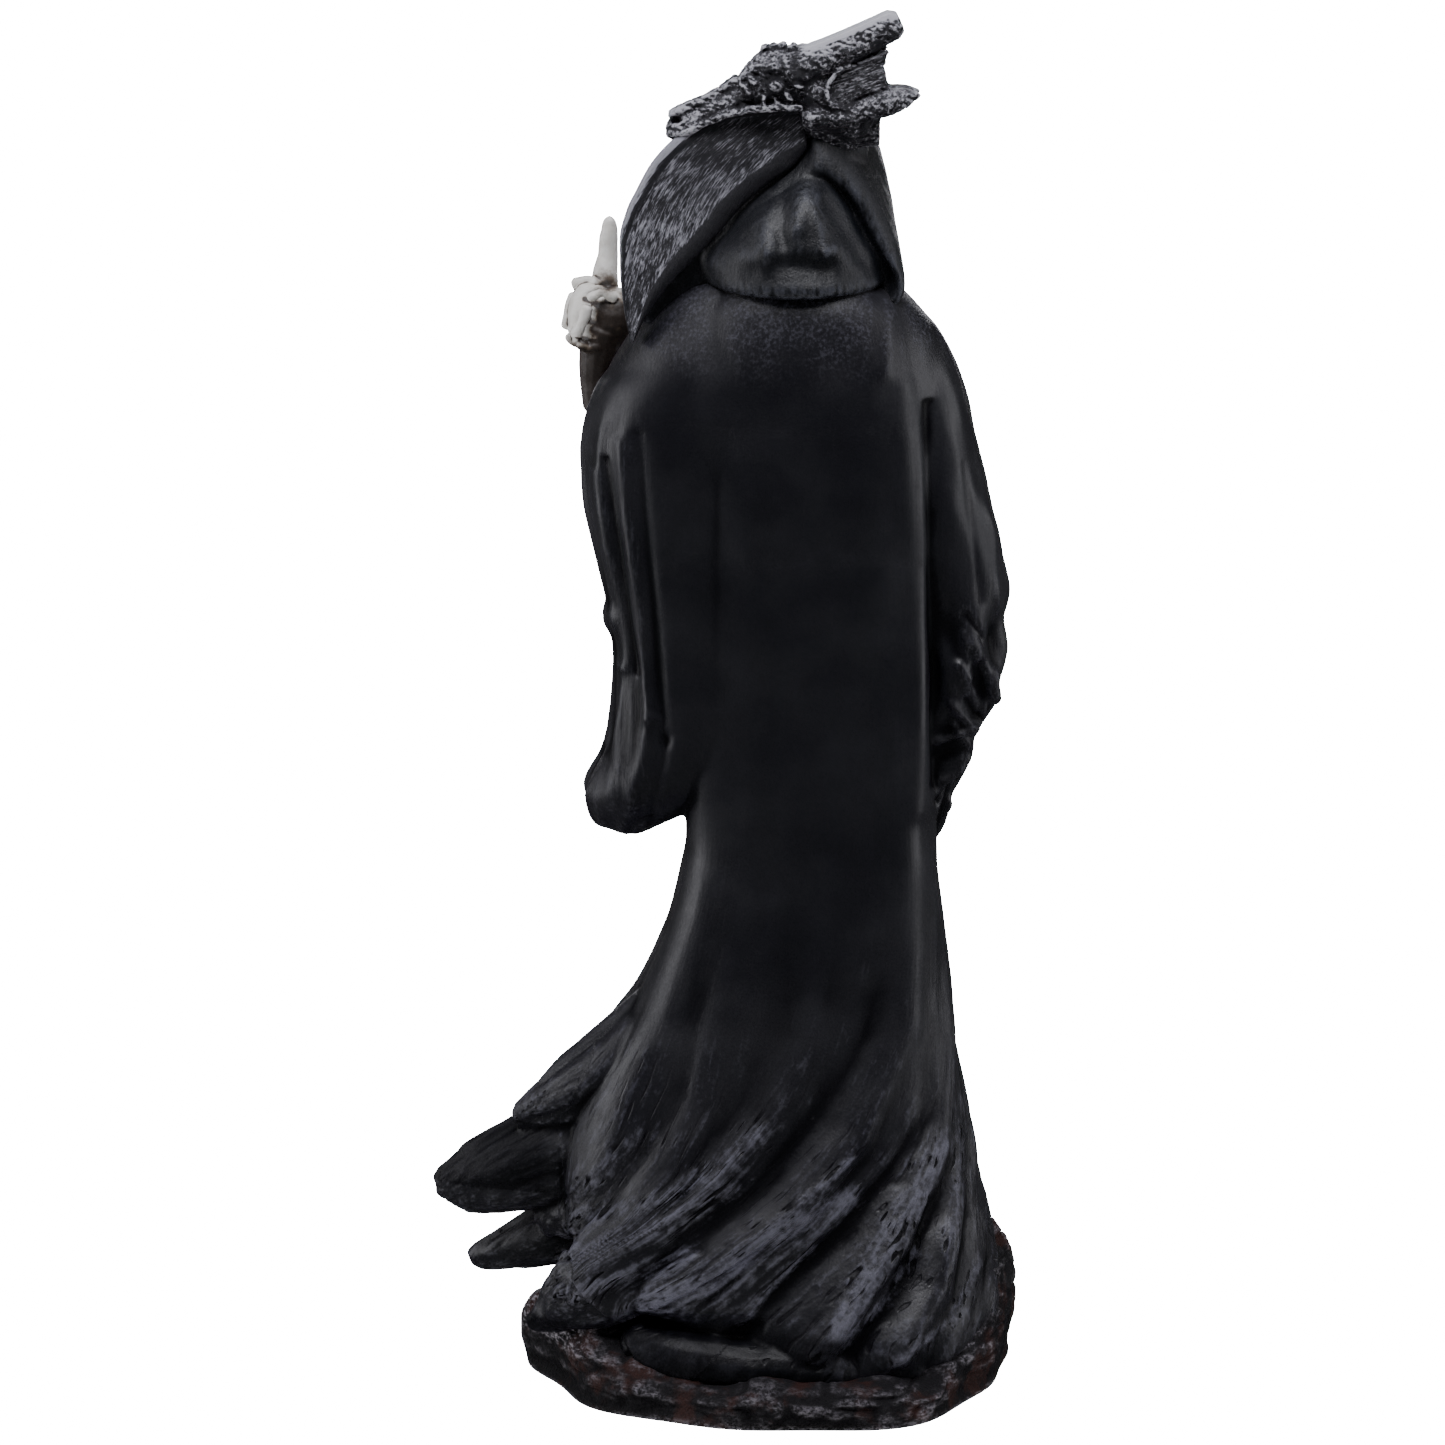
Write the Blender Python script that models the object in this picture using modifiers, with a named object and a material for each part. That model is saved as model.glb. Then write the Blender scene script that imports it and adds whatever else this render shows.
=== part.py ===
"""Grim reaper figurine: one painted resin casting of a hooded figure on a rock.

Metres, +Z up. The figure faces -Y and stands on the flat underside of the rock, at z = 0.
"""
import math

import bpy
import numpy as np

# Driving sizes, in metres
FIGURE_HEIGHT = 0.298
BASE_WIDTH = 0.108
BASE_DEPTH = 0.098
BASE_HEIGHT = 0.018
BASE_NEAR_HEIGHT = 0.0095
ROBE_SINK = 0.016
SHAFT_RADIUS = 0.0026
HOOD_WALL = 0.0034
BLADE_THICKNESS = 0.0036
VOXEL = 0.0009
TRIANGLES = 9600

# The figure is laid out in its own units, 1/298 of its height, from a foot level of 2
UNIT = FIGURE_HEIGHT / 298.0
FOOT_LEVEL = 2.0
FIGURE_FOOT = BASE_HEIGHT - ROBE_SINK
TURN = 2.0 * math.pi


def world(points):
    """Figure units to metres."""
    out = np.array(points, dtype=float) * UNIT
    out[..., 2] += FIGURE_FOOT - FOOT_LEVEL * UNIT
    return out


def track(keys, t):
    """Smooth curve through a few (position, value) keys, with no overshoot."""
    keys = np.array(sorted(keys), dtype=float)
    x = keys[:, 0]
    y = keys[:, 1]
    t = np.clip(np.asarray(t, dtype=float), x[0], x[-1])
    step = np.diff(x)
    slope = np.diff(y) / step
    tangent = np.zeros_like(y)
    tangent[0] = slope[0]
    tangent[-1] = slope[-1]
    for i in range(1, len(x) - 1):
        if slope[i - 1] * slope[i] > 0:
            tangent[i] = 2 * slope[i - 1] * slope[i] / (slope[i - 1] + slope[i])
    k = np.clip(np.searchsorted(x, t, side="right") - 1, 0, len(x) - 2)
    h = step[k]
    s = (t - x[k]) / h
    a = y[k] * (1 + 2 * s) * (1 - s) ** 2 + tangent[k] * h * s * (1 - s) ** 2
    b = y[k + 1] * s ** 2 * (3 - 2 * s) + tangent[k + 1] * h * s ** 2 * (s - 1)
    return a + b


def smoothstep(low, high, t):
    s = np.clip((np.asarray(t, dtype=float) - low) / (high - low), 0, 1)
    return s * s * (3 - 2 * s)


def wave(t, *terms):
    """Sum of sines, each term (frequency, phase, amplitude)."""
    return sum(a * np.sin(f * np.asarray(t, dtype=float) + p) for f, p, a in terms)


def pleat(offset, width, steep):
    """Round-topped fold that falls away faster on its negative side."""
    side = np.where(offset < 0, width * steep, width)
    return np.exp(-((offset / side) ** 2))


class Clay:
    """Closed lumps that are fused into one body later."""

    def __init__(self):
        self.points = []
        self.faces = []

    def add(self, points, faces):
        start = len(self.points)
        self.points.extend(tuple(p) for p in points)
        self.faces.extend(tuple(start + i for i in face) for face in faces)

    def loft(self, rings):
        """Closed loft through rings of equal count, with a fan at each end."""
        rings = np.asarray(rings, dtype=float)
        count, sides = rings.shape[:2]
        points = list(rings.reshape(-1, 3))
        points.append(rings[0].mean(axis=0))
        points.append(rings[-1].mean(axis=0))
        first = count * sides
        faces = []
        for i in range(count - 1):
            for j in range(sides):
                k = (j + 1) % sides
                faces.append((i * sides + j, i * sides + k, (i + 1) * sides + k, (i + 1) * sides + j))
        for j in range(sides):
            k = (j + 1) % sides
            faces.append((first, k, j))
            faces.append((first + 1, (count - 1) * sides + j, (count - 1) * sides + k))
        self.add(points, faces)

    def tube(self, path, radii, sides=14, flat=1.0, up=(0, 1, 0), steps=6):
        """Round or flattened limb along a path; radii has one value for each point."""
        path = np.asarray(path, dtype=float)
        keys = np.arange(len(path))
        t = np.linspace(0, len(path) - 1, (len(path) - 1) * steps + 1)
        line = np.stack([track(list(zip(keys, path[:, i])), t) for i in range(3)], axis=1)
        radius = track(list(zip(keys, radii)), t)
        tangent = np.gradient(line, axis=0)
        tangent /= np.linalg.norm(tangent, axis=1)[:, None]
        side = np.cross(tangent, np.asarray(up, dtype=float))
        side /= np.linalg.norm(side, axis=1)[:, None] + 1e-9
        other = np.cross(side, tangent)
        angle = np.arange(sides) * TURN / sides
        rings = []
        for i in range(len(line)):
            across = np.outer(np.cos(angle), side[i]) * radius[i]
            along = np.outer(np.sin(angle), other[i]) * radius[i] * flat
            rings.append(line[i] + across + along)
        start = line[0] - tangent[0] * radius[0] * 0.55
        end = line[-1] + tangent[-1] * radius[-1] * 0.55
        rings.insert(0, start + (rings[0] - line[0]) * 0.6)
        rings.append(end + (rings[-1] - line[-1]) * 0.6)
        self.loft(rings)

    def ball(self, centre, size, turns=20):
        """Ellipsoid with half sizes."""
        rings = []
        angle = np.arange(turns) * TURN / turns
        for tilt in np.linspace(-0.49, 0.49, turns // 2) * math.pi:
            ring = np.stack([np.cos(tilt) * np.cos(angle), np.cos(tilt) * np.sin(angle),
                             np.full(turns, math.sin(tilt))], axis=1)
            rings.append(np.asarray(centre) + ring * np.asarray(size))
        self.loft(rings)


# Robe

ROBE_LEFT = [(2, 27), (10, 28), (16, 30), (22, 36), (30, 42), (38, 45), (48, 45), (58, 44), (67, 41),
             (76, 36.5), (85, 30), (94, 25.5), (103, 22), (112, 19.8), (121, 18.2), (140, 19),
             (200, 20),
             (218, 20), (230, 19), (238, 16), (246, 8)]
ROBE_RIGHT = [(2, -47), (16, -50), (24, -49.5), (35, -48.5), (44, -46), (56, -44), (76, -41.8),
              (94, -40), (121, -38), (160, -37.5), (200, -37.5), (218, -36), (230, -34),
              (238, -30), (246, -20)]
ROBE_BACK = [(2, 41), (14, 41), (30, 38), (44, 35), (58, 32), (76, 28.5), (94, 26), (121, 25),
             (150, 26), (180, 28), (208, 29.4), (222, 29), (231, 28), (237, 27), (241, 25.6),
             (244, 23), (246, 18)]
ROBE_FRONT = [(2, -38), (16, -38), (44, -34), (76, -28), (121, -23), (180, -22), (215, -20),
              (230, -15), (239, -6),
              (246, -1)]

# How far a fold has swung round at each level, and the folds: angle at the shoulder, width,
# steepness of the lower side, and height by level
SWING = [(10, 2.62), (14, 2.5), (31, 1.8), (47, 1.36), (72, 0.88), (115, 0.28), (135, 0.06), (160, 0.0)]
SWING_PEAK = math.radians(200)
HEM_RECESS = 2.5
FOLDS = [
    (38, 11, 0.8, [(20, 0.6), (60, 1.2), (120, 1.9), (190, 2.0), (224, 0)]),
    (64, 7, 0.7, [(20, 1.6), (60, 0.9), (110, 0.1), (130, 0)]),
    (86, 8, 0.6, [(10, 2.2), (45, 1.6), (80, 0.4), (110, 0)]),
    (104, 7, 0.6, [(10, 2.4), (45, 1.8), (85, 0.5), (110, 0)]),
    (124, 9, 0.6, [(6, 2.6), (40, 2.0), (75, 0.9), (110, 0.2), (130, 0)]),
    (145, 10, 0.7, [(6, 3.2), (40, 2.8), (80, 2.0), (120, 2.0), (200, 2.2), (226, 0)]),
    (173, 12, 0.55, [(4, 4.4), (40, 3.8), (75, 2.4), (110, 1.0), (135, 0)]),
    (203, 13, 0.5, [(4, 5.0), (35, 4.6), (70, 2.6), (100, 0.8), (120, 0)]),
    (231, 12, 0.5, [(4, 4.6), (35, 4.0), (60, 2.2), (90, 0)]),
    (258, 11, 0.6, [(4, 4.0), (60, 2.8), (130, 2.2), (190, 1.4), (220, 0)]),
    (284, 12, 0.7, [(4, 3.4), (60, 2.6), (130, 2.4), (190, 1.6), (220, 0)]),
    (310, 11, 0.8, [(4, 3.2), (60, 2.6), (130, 2.2), (190, 1.4), (220, 0)]),
    (334, 10, 0.8, [(4, 2.6), (60, 2.0), (130, 1.0), (170, 0)]),
]


def fold_angle(angle, z):
    """The angle at the shoulder of the fold that passes through this angle at this level."""
    start = np.linspace(0, TURN, 721)
    share = np.where(start < SWING_PEAK, start / SWING_PEAK, (TURN - start) / (TURN - SWING_PEAK))
    return np.interp(angle, start - track(SWING, z) * share, start)


# Folds of the back of the skirt, in the plane of the photo: points (x, z) from the top down, width,
# steepness of the lower side, and height by share of the way
BACK_FOLDS = [
    ([(14, 190), (15, 150), (16, 111), (24.3, 83), (34.5, 60), (44.6, 43), (50, 31)], 5.0, 0.9,
     [(0, 0), (0.3, 0.7), (0.6, 1.2), (1, 1.4)]),
    ([(10, 120), (13, 95), (22, 66), (33, 47), (46, 31)], 3.4, 1.0, [(0, 0), (0.4, -0.6), (1, -1.2)]),
    ([(8, 100), (12.4, 83), (14.1, 68), (20.8, 53.2), (31, 41.5), (41.2, 33.2), (50.5, 24)], 4.2, 0.8,
     [(0, 0), (0.4, 0.8), (1, 1.5)]),
    ([(-14, 125), (-9.7, 80), (-1, 63.8), (10.7, 51.5), (24.3, 40.6), (38.6, 31.5), (47, 23)], 4.5, 0.7,
     [(0, 0), (0.35, 0.9), (0.7, 1.6), (1, 1.2)]),
    ([(-27.8, 104.5), (-22.4, 82.7), (-11.6, 64.5), (1.4, 48.5), (16.5, 37.2), (33.4, 27.2)], 3.4, 1.0,
     [(0, 0), (0.3, -0.8), (0.7, -1.5), (1, -1.2)]),
    ([(-28, 190), (-29.6, 155), (-32.7, 111), (-30.6, 82.7), (-19.9, 60.2), (-6.2, 45.5), (10.7, 33.2),
      (27.3, 22.5)], 6.0, 0.55, [(0, 0), (0.3, 0.8), (0.55, 1.4), (0.75, 3.6), (1, 3.2)]),
    ([(-36.5, 112), (-37.2, 80), (-35.5, 62), (-28.9, 51.5), (-18.1, 39.8), (-6.2, 29.8), (6.8, 17.6)],
     3.0, 1.0, [(0, -0.3), (0.35, -1.4), (0.7, -3.0), (1, -2.4)]),
    ([(-38.6, 98), (-39.7, 76.4), (-37.2, 55.5), (-29, 38.1), (-20.5, 26.6), (-10.6, 14.4)], 5.2, 0.6,
     [(0, 0.5), (0.3, 1.4), (0.6, 3.2), (1, 3.0)]),
    ([(-42.4, 67.7), (-40.4, 48.5), (-33.7, 33.2), (-26.8, 22.5), (-18.1, 12.6)], 2.8, 1.0,
     [(0, -0.3), (0.5, -2.0), (1, -2.0)]),
    ([(-41.9, 80.6), (-43.4, 57.2), (-41.7, 41.5), (-37.6, 26.6), (-29, 13.9)], 4.0, 0.7,
     [(0, 0.3), (0.5, 2.2), (1, 2.6)]),
    ([(-45, 60), (-45.4, 40), (-42.5, 22), (-36, 10)], 2.4, 1.0, [(0, 0), (0.5, -1.3), (1, -1.0)]),
]


def line_offset(x, z, line):
    """Signed distance from a line of points, and the share of the way along it."""
    line = np.asarray(line, dtype=float)
    runs = np.diff(line, axis=0)
    lengths = np.linalg.norm(runs, axis=1)
    before = np.concatenate([[0], np.cumsum(lengths)])
    nearest = np.full(np.shape(x), np.inf)
    offset = np.zeros(np.shape(x))
    share = np.zeros(np.shape(x))
    for start, run, length, done in zip(line, runs, lengths, before):
        t = np.clip(((x - start[0]) * run[0] + (z - start[1]) * run[1]) / length ** 2, 0, 1)
        dx = x - start[0] - t * run[0]
        dz = z - start[1] - t * run[1]
        away = np.hypot(dx, dz)
        side = np.where(run[0] * (z - start[1]) - run[1] * (x - start[0]) < 0, -1, 1)
        closer = away < nearest
        nearest = np.where(closer, away, nearest)
        offset = np.where(closer, away * side, offset)
        share = np.where(closer, (done + t * length) / before[-1], share)
    return offset, share


def back_relief(x, z):
    total = np.zeros(np.shape(x))
    for line, width, steep, heights in BACK_FOLDS:
        offset, share = line_offset(x, z, line)
        total += track(heights, share) * pleat(offset, width, steep)
    return total


def robe_relief(angle, z, x):
    """How far the cloth stands out from its plain section."""
    phi = np.degrees(fold_angle(angle, z))
    crowding = np.gradient(phi) / np.degrees(angle[1] - angle[0])
    calm = 1 / np.maximum(crowding / 2, 1)
    total = np.zeros_like(angle)
    for centre, width, steep, heights in FOLDS:
        total += track(heights, z) * pleat(phi - centre, width, steep) * calm
    fine = wave(phi, (0.55, 0.0, 0.6), (0.31, 1.3, 0.6)) / np.maximum(crowding, 1)
    low = track([(6, 1.0), (40, 0.8), (75, 0.35), (105, 0.0)], z)
    back = smoothstep(0.05, 0.45, np.sin(angle))
    total = total * (1 - back * (1 - 0.8 * smoothstep(120, 160, z))) + back * back_relief(x, z)
    fine = fine * (1 - back)
    behind = np.sin(angle) > 0
    under = HEM_RECESS * smoothstep(-12, 8, x) * (1 - smoothstep(19, 24, z + 0.10 * np.abs(x - 12)))
    return total + low * fine - np.where(behind, under, 0)


def section(z, left, right, front, back, count, power=2.7):
    """Superellipse ring at a level, as angles, centre and unit offsets."""
    angle = np.arange(count) * TURN / count
    c = np.cos(angle)
    s = np.sin(angle)
    x = np.sign(c) * np.abs(c) ** (2 / power)
    y = np.sign(s) * np.abs(s) ** (2 / power)
    centre = np.array([(left + right) / 2, 0, z])
    half = (left - right) / 2
    depth = np.where(y > 0, back, -front)
    return angle, centre, np.stack([x * half, y * depth, np.zeros(count)], axis=1)


def robe(clay, levels=160, count=320):
    rings = []
    for z in np.linspace(2, 246, levels):
        angle, centre, offset = section(z, track(ROBE_LEFT, z), track(ROBE_RIGHT, z),
                                        track(ROBE_FRONT, z), track(ROBE_BACK, z), count)
        relief = robe_relief(angle, z, centre[0] + offset[:, 0]) - 0.8
        direction = offset / np.linalg.norm(offset, axis=1)[:, None]
        rings.append(centre + offset + direction * relief[:, None])
    clay.loft(rings)
    # inner cloth that shows below the hem
    clay.tube([(28, 29, 12.5), (17, 34.5, 11), (2, 36, 10), (-16, 36.5, 9)], (6.0, 6.2, 6.4, 6.0))


YOKE_FRONT = [(140, -19), (206, -19), (222, -17), (232, -12), (239, -6), (246, -1)]


def yoke(clay, levels=60, count=120):
    """Shoulders that carry the cloth from the neck to the sleeves."""
    left = [(140, 17), (165, 21), (190, 26), (206, 32), (214, 35), (222, 34.4), (229, 31), (234, 27.5),
            (239, 23), (243, 17.5), (246, 8)]
    right = [(140, -28), (165, -30), (190, -34), (206, -41), (216, -41.5), (224, -39.4),
             (231, -37), (237, -33),
             (242, -28), (246, -20)]
    back = [(140, 15), (165, 20), (190, 24), (206, 26.5), (216, 26.6), (224, 26), (231, 24.6),
            (237, 22.5),
            (242, 19), (246, 12)]
    rings = []
    for z in np.linspace(140, 246, levels):
        front = track(YOKE_FRONT, z)
        angle, centre, offset = section(z, track(left, z), track(right, z), front, track(back, z),
        count, 2.3)
        rings.append(centre + offset)
    clay.loft(rings)


def mantle(clay, levels=80, count=160):
    """Cloth of the back that runs on into the left sleeve with no crease."""
    left = [(121.6, 30), (124, 36.5), (127, 38.8), (130.5, 39.6), (135, 37.6), (140, 34.8), (152, 32.8),
            (160, 32.4), (170, 33.4), (180, 35.4), (190, 37.8), (199, 39.0), (207, 39.2), (214, 38.2),
            (221, 35.4), (227, 30.5), (232, 26)]
    back = [(121.6, 8), (124, 12.5), (130, 17), (142, 20.4), (160, 22), (185, 23.4), (208, 24.4),
            (220, 24.0), (227, 22.5), (232, 19)]
    rings = []
    for z in np.linspace(121.6, 232, levels):
        angle, centre, offset = section(z, track(left, z), -18, -4, track(back, z), count, 2.5)
        ring = centre + offset
        ring[:, 2] += np.clip(0.27 * (38 - ring[:, 0]), 0, 7) * (1 - smoothstep(121.6, 150, z))
        rings.append(ring)
    clay.loft(rings)


# Cloth tongues that blow out to the left

TONGUES = [
    # (path through the middle, half height along it, half thickness along it)
    ([(8, 3, 92), (25, 7, 77), (38, 8, 66.5), (48, 7.5, 61.2), (53.6, 7, 58.6)],
     (9, 9, 8.6, 5.6, 3.2), (11, 11, 9, 5.4, 2.6)),
    ([(14, 2, 66), (36, 3, 53), (54, 2, 46), (66, 0, 41.6), (71.8, -1, 40.4)],
     (13, 13, 10.5, 7.6, 4.6), (14, 12, 8.6, 5.2, 2.8)),
    ([(20, -4, 40), (42, -4, 31), (56, -6, 25), (64.3, -7, 22.4)], (10, 8, 5.2, 3.0),
     (12, 9, 5.6, 2.6)),
    ([(-6, 12, 66), (16, 25, 42), (37, 26, 25.5), (46.5, 22.5, 18.4), (51, 20, 15.6)],
     (17, 14, 10, 5.2, 2.4), (9, 9, 7.5, 5, 2.2)),
]


def tongues(clay):
    for path, height, thick in TONGUES:
        path = np.asarray(path, dtype=float)
        keys = np.arange(len(path))
        t = np.linspace(0, len(path) - 1, 40)
        line = np.stack([track(list(zip(keys, path[:, i])), t) for i in range(3)], axis=1)
        tall = track(list(zip(keys, height)), t)
        deep = track(list(zip(keys, thick)), t)
        run = np.gradient(line, axis=0)
        run /= np.linalg.norm(run, axis=1)[:, None]
        side = np.cross(run, np.array([0.0, 1.0, 0.0]))
        side /= np.linalg.norm(side, axis=1)[:, None]
        count = 48
        angle = np.arange(count) * TURN / count
        groove = 1 + 0.05 * np.cos(5 * angle + 0.6) + 0.03 * np.cos(9 * angle)
        rings = []
        for i in range(len(line)):
            up = np.outer(np.cos(angle) * groove, side[i]) * tall[i]
            out = np.outer(np.sin(angle) * groove, np.array([0.0, 1.0, 0.0])) * deep[i]
            rings.append(line[i] + up + out)
        rings.append(line[-1] + run[-1] * 2.0 + (rings[-1] - line[-1]) * 0.55)
        clay.loft(rings)
    # cloth between their roots
    clay.tube([(22, 6, 62), (36, 8, 58), (45, 6, 55.5)], (9, 7.5, 4.0))
    clay.tube([(24, 6, 44), (38, 6, 38.5), (48, 3, 34.5)], (10, 8, 4.5))


# Sleeves

def left_sleeve(clay, levels=90, count=96):
    """Long sleeve that hangs from the raised left arm."""
    outer = [(121.6, 33), (123.5, 37.5), (127, 39.4), (130.5, 40.2), (135, 38), (139, 35.6),
             (144, 34.6),
             (152, 33.2), (160, 32.8), (170, 33.9), (180, 36.0), (188, 37.9),
             (197, 39.5), (206, 40), (214, 39), (220, 36.8), (226, 31.5), (229, 27)]
    inner = [(121.6, 26), (123.5, 22), (126, 17), (130, 13), (140, 10.5), (170, 10), (200, 10),
             (229, 8)]
    back = [(121.6, 6), (126, 10), (140, 15.5), (165, 19.5), (195, 22), (212, 22), (222, 18), (229, 12)]
    front = [(121.6, -6), (126, -14), (140, -26), (160, -31), (200, -30), (212, -27), (222, -16),
             (229, -8)]
    rings = []
    for z in np.linspace(121.6, 229, levels):
        angle, centre, offset = section(z, track(outer, z), track(inner, z), track(front, z),
                                        track(back, z), count, 2.0)
        direction = offset / np.linalg.norm(offset, axis=1)[:, None]
        lean = track([(121.6, 0.55), (150, 0.1), (175, 0.0)], z)
        relief = wave(angle + lean, (11, 0.4, 0.55), (17, 1.1, 0.35), (7, 2.0, 0.4))
        fade = track([(121.6, 0.6), (135, 1.0), (205, 0.9), (226, 0.1)], z)
        rings.append(centre + offset + direction * (relief * fade - 0.3)[:, None])
    clay.loft(rings)
    clay.tube([(29.5, -18, 174), (31.8, -4, 168.6), (30.6, 10, 171)], (4.6, 4.4, 3.4))
    clay.tube([(28, -8, 208), (30, -20, 192), (31.5, -24, 204), (33, -23, 216)], (9, 8.5, 7.6, 6.6))


def right_sleeve(clay, levels=90, count=96):
    """Sleeve of the right arm, bent at the elbow, with the forearm going to the front."""
    outer = [(119, -36.5), (123, -38.6), (130.5, -41.4), (139, -45.2), (148, -48.4), (153, -50.8),
             (157, -51.3),
             (166, -51.6), (175, -52.8), (180, -52.3), (188, -50.9), (197, -48.4), (210, -45.4),
             (219, -43.3),
             (227.5, -40.2), (232, -37.6), (236, -34)]
    inner = [(119, -30), (125, -26), (140, -24), (200, -20), (236, -18)]
    back = [(119, 2), (124, 6), (140, 10), (160, 14), (180, 17), (205, 19), (222, 16), (236, 8)]
    front = [(119, -8), (124, -14), (140, -24), (160, -27), (180, -24), (205, -20), (236, -10)]
    rings = []
    for z in np.linspace(119, 236, levels):
        angle, centre, offset = section(z, track(outer, z), track(inner, z), track(front, z),
                                        track(back, z), count, 2.1)
        direction = offset / np.linalg.norm(offset, axis=1)[:, None]
        crumple = track([(119, 0.8), (135, 1.2), (165, 1.1), (182, 0.35), (225, 0.15)], z)
        relief = wave(angle * 6 + z * 0.16, (1, 0, 0.8)) + wave(angle * 9 - z * 0.31, (1, 0.7, 0.6))
        rings.append(centre + offset + direction * (relief * crumple - 0.3)[:, None])
    clay.loft(rings)
    clay.tube([(-39, -6, 170), (-42, -20, 158), (-36.5, -28, 152), (-31.5, -31.5, 151)],
    (8, 10, 8.5, 7.4))


# Hood

# Left leg of the arch at the back, along the blade's inner edge: (level, x)
ARCH_LEG = [(234.5, 28.4), (239.4, 25.6), (243.8, 21.6), (248.4, 16.6), (253.4, 11.0), (260.6, 3.2),
            (265.2, -3.0), (269.5, -8.0), (272.5, -9.6), (275.2, -9.9)]


# Top of the arch: where its rounding starts and how high it may come
ARCH_ROUND = 257.0
ARCH_TOP = 267.4


def hood_outline(back, count):
    """Hood's section: a wide arch (0), pointed at the back (1) and peaked at the front rim (-1)."""
    angle = np.arange(count) * TURN / count
    c = np.cos(angle)
    s = np.sin(angle)

    def arch(centre, up, down, left, right, taper, shift, power_up, power_down):
        power = np.where(s > 0, power_up, power_down)
        lift = np.sign(s) * np.abs(s) ** (2 / power)
        z = lift * np.where(s > 0, up, down)
        half = np.where(c > 0, left, right) - taper * z
        x = np.sign(c) * np.abs(c) ** (2 / power) * half + centre[0] - shift * np.clip(lift, 0, 1) ** 2
        return np.stack([x, np.zeros(count), z + centre[1]], axis=1)

    wide = arch((-4.4, 256), 27.5, 19, 21.5, 23.2, 0.17, 1.0, 3.2, 5.0)
    pointed = arch((-4.4, 243.5), 31.5, 9, 25.0, 25.0, 0.0, 5.4, 1.42, 2.6)
    leg = track(ARCH_LEG, pointed[:, 2])
    pointed[:, 0] = np.where(c > 0, leg, pointed[:, 0])
    peaked = arch((-4.4, 254), 30.5, 19, 19.5, 20.5, 0.10, 0.5, 1.7, 2.8)
    if back < 0:
        return wide * (1 + back) - peaked * back
    return wide * (1 - back) + pointed * back


def rounded_arch(ring, share):
    """Lowers and rounds the top of the arch, and moves its right leg inward."""
    over = np.maximum(ring[:, 2] - ARCH_ROUND, 0)
    room = ARCH_TOP - ARCH_ROUND
    leg = smoothstep(243, 255, ring[:, 2]) * smoothstep(-11, -17, ring[:, 0])
    ring[:, 2] -= share * (over - room * np.tanh(over / room))
    ring[:, 0] += share * 2.4 * leg
    return ring


def hood(clay, count=120):
    """Shell with an open front. Rings run from the back round the rim and into the hollow."""
    wall = HOOD_WALL / UNIT
    # (depth, how far the section has turned into the back one, scale, rounding)
    outer = [(10.4, 1, 0.4, 0), (10.6, 1, 0.82, 1), (11.2, 1, 0.87, 1), (12.8, 1, 0.905, 1),
             (14.4, 1, 0.94, 0.92), (14.2, 1, 0.97, 0.6), (13.0, 1, 0.995, 0.25),
             (11, 0.96, 1.01, 0), (4, 0.66, 1.01, 0), (-4, 0.22, 1.0, 0), (-12, 0, 1.0, 0),
             (-20, -0.3, 1.0, 0), (-27, -0.85, 1.01, 0), (-30, -1, 1.02, 0), (-31.6, -1, 0.98, 0)]
    inner = [(-31, -1, 0.99), (-27, -0.85, 0.99), (-20, -0.3, 0.98), (-12, 0, 0.97),
             (-4, 0.22, 0.92), (0, 0.45, 0.8),
             (3.0, 0.66, 0.58), (4.0, 0.8, 0.3)]
    rings = []
    for y, back, scale, share in outer:
        line = hood_outline(back, count)
        middle = line.mean(axis=0)
        ring = rounded_arch(middle + (line - middle) * scale + np.array([0, y, 0]), share)
        low_left = smoothstep(0, 8, ring[:, 0]) * (1 - smoothstep(252, 262, ring[:, 2]))
        ring[:, 1] -= low_left * max(y - 10.5, 0)
        rings.append(ring)
    for y, back, scale in inner:
        line = hood_outline(back, count)
        middle = line.mean(axis=0)
        offset = line - middle
        length = np.linalg.norm(offset, axis=1)[:, None]
        offset = offset * scale * np.maximum(length - wall, 1) / length
        rings.append(middle + offset + np.array([0, y, 0]))
    clay.loft(rings)
    # cloth behind the lower end of the blade
    clay.tube([(24.4, 3, 229), (23.4, 4.6, 236), (20.8, 5.6, 242), (16.4, 6.0, 249)], (3.6, 4.2, 3.8, 2.8))


BAG_LEFT = [(241.5, 11), (243.5, 14), (248, 15.0), (254, 10), (260, 4), (264, -1.4), (267, -6.6)]
BAG_RIGHT = [(241.5, -23.6), (243.5, -26.2), (248, -25.2), (254, -21.6), (260, -18.2),
             (264, -15.4), (267, -13.0)]
BAG_BACK = [(241.5, 24.6), (242.6, 27.6), (243.8, 27.6), (246, 26.9), (250, 27.2), (255, 25.6), (259, 23.6),
            (262.6, 20.2), (265.2, 15.8), (267, 11.4)]
# Ridges and hollows of the bag: two ends (x, z), width and height
BAG_MARKS = [
    ((2.6, 260.5), (0.0, 251.5), 2.3, 1.3),
    ((-3.6, 264), (-3.4, 253), 1.5, -1.3),
    ((-8.4, 267.8), (-6.2, 257), 1.9, 1.5),
    ((-9.9, 262), (-12.2, 252.5), 1.9, 1.6),
    ((-12.5, 261.4), (-19.8, 249.6), 1.3, -1.6),
    ((-19.8, 249.6), (-23.5, 245.5), 1.3, -1.2),
    ((-14.2, 266.7), (-25.5, 248.8), 1.7, 1.7),
    ((-2.4, 249.4), (-12.4, 248.8), 2.3, -1.6),
    ((-10.6, 250.6), (-14.4, 252.4), 1.2, 0.9),
    ((11.0, 250.0), (3.0, 247.6), 2.0, -1.0),
]


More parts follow.
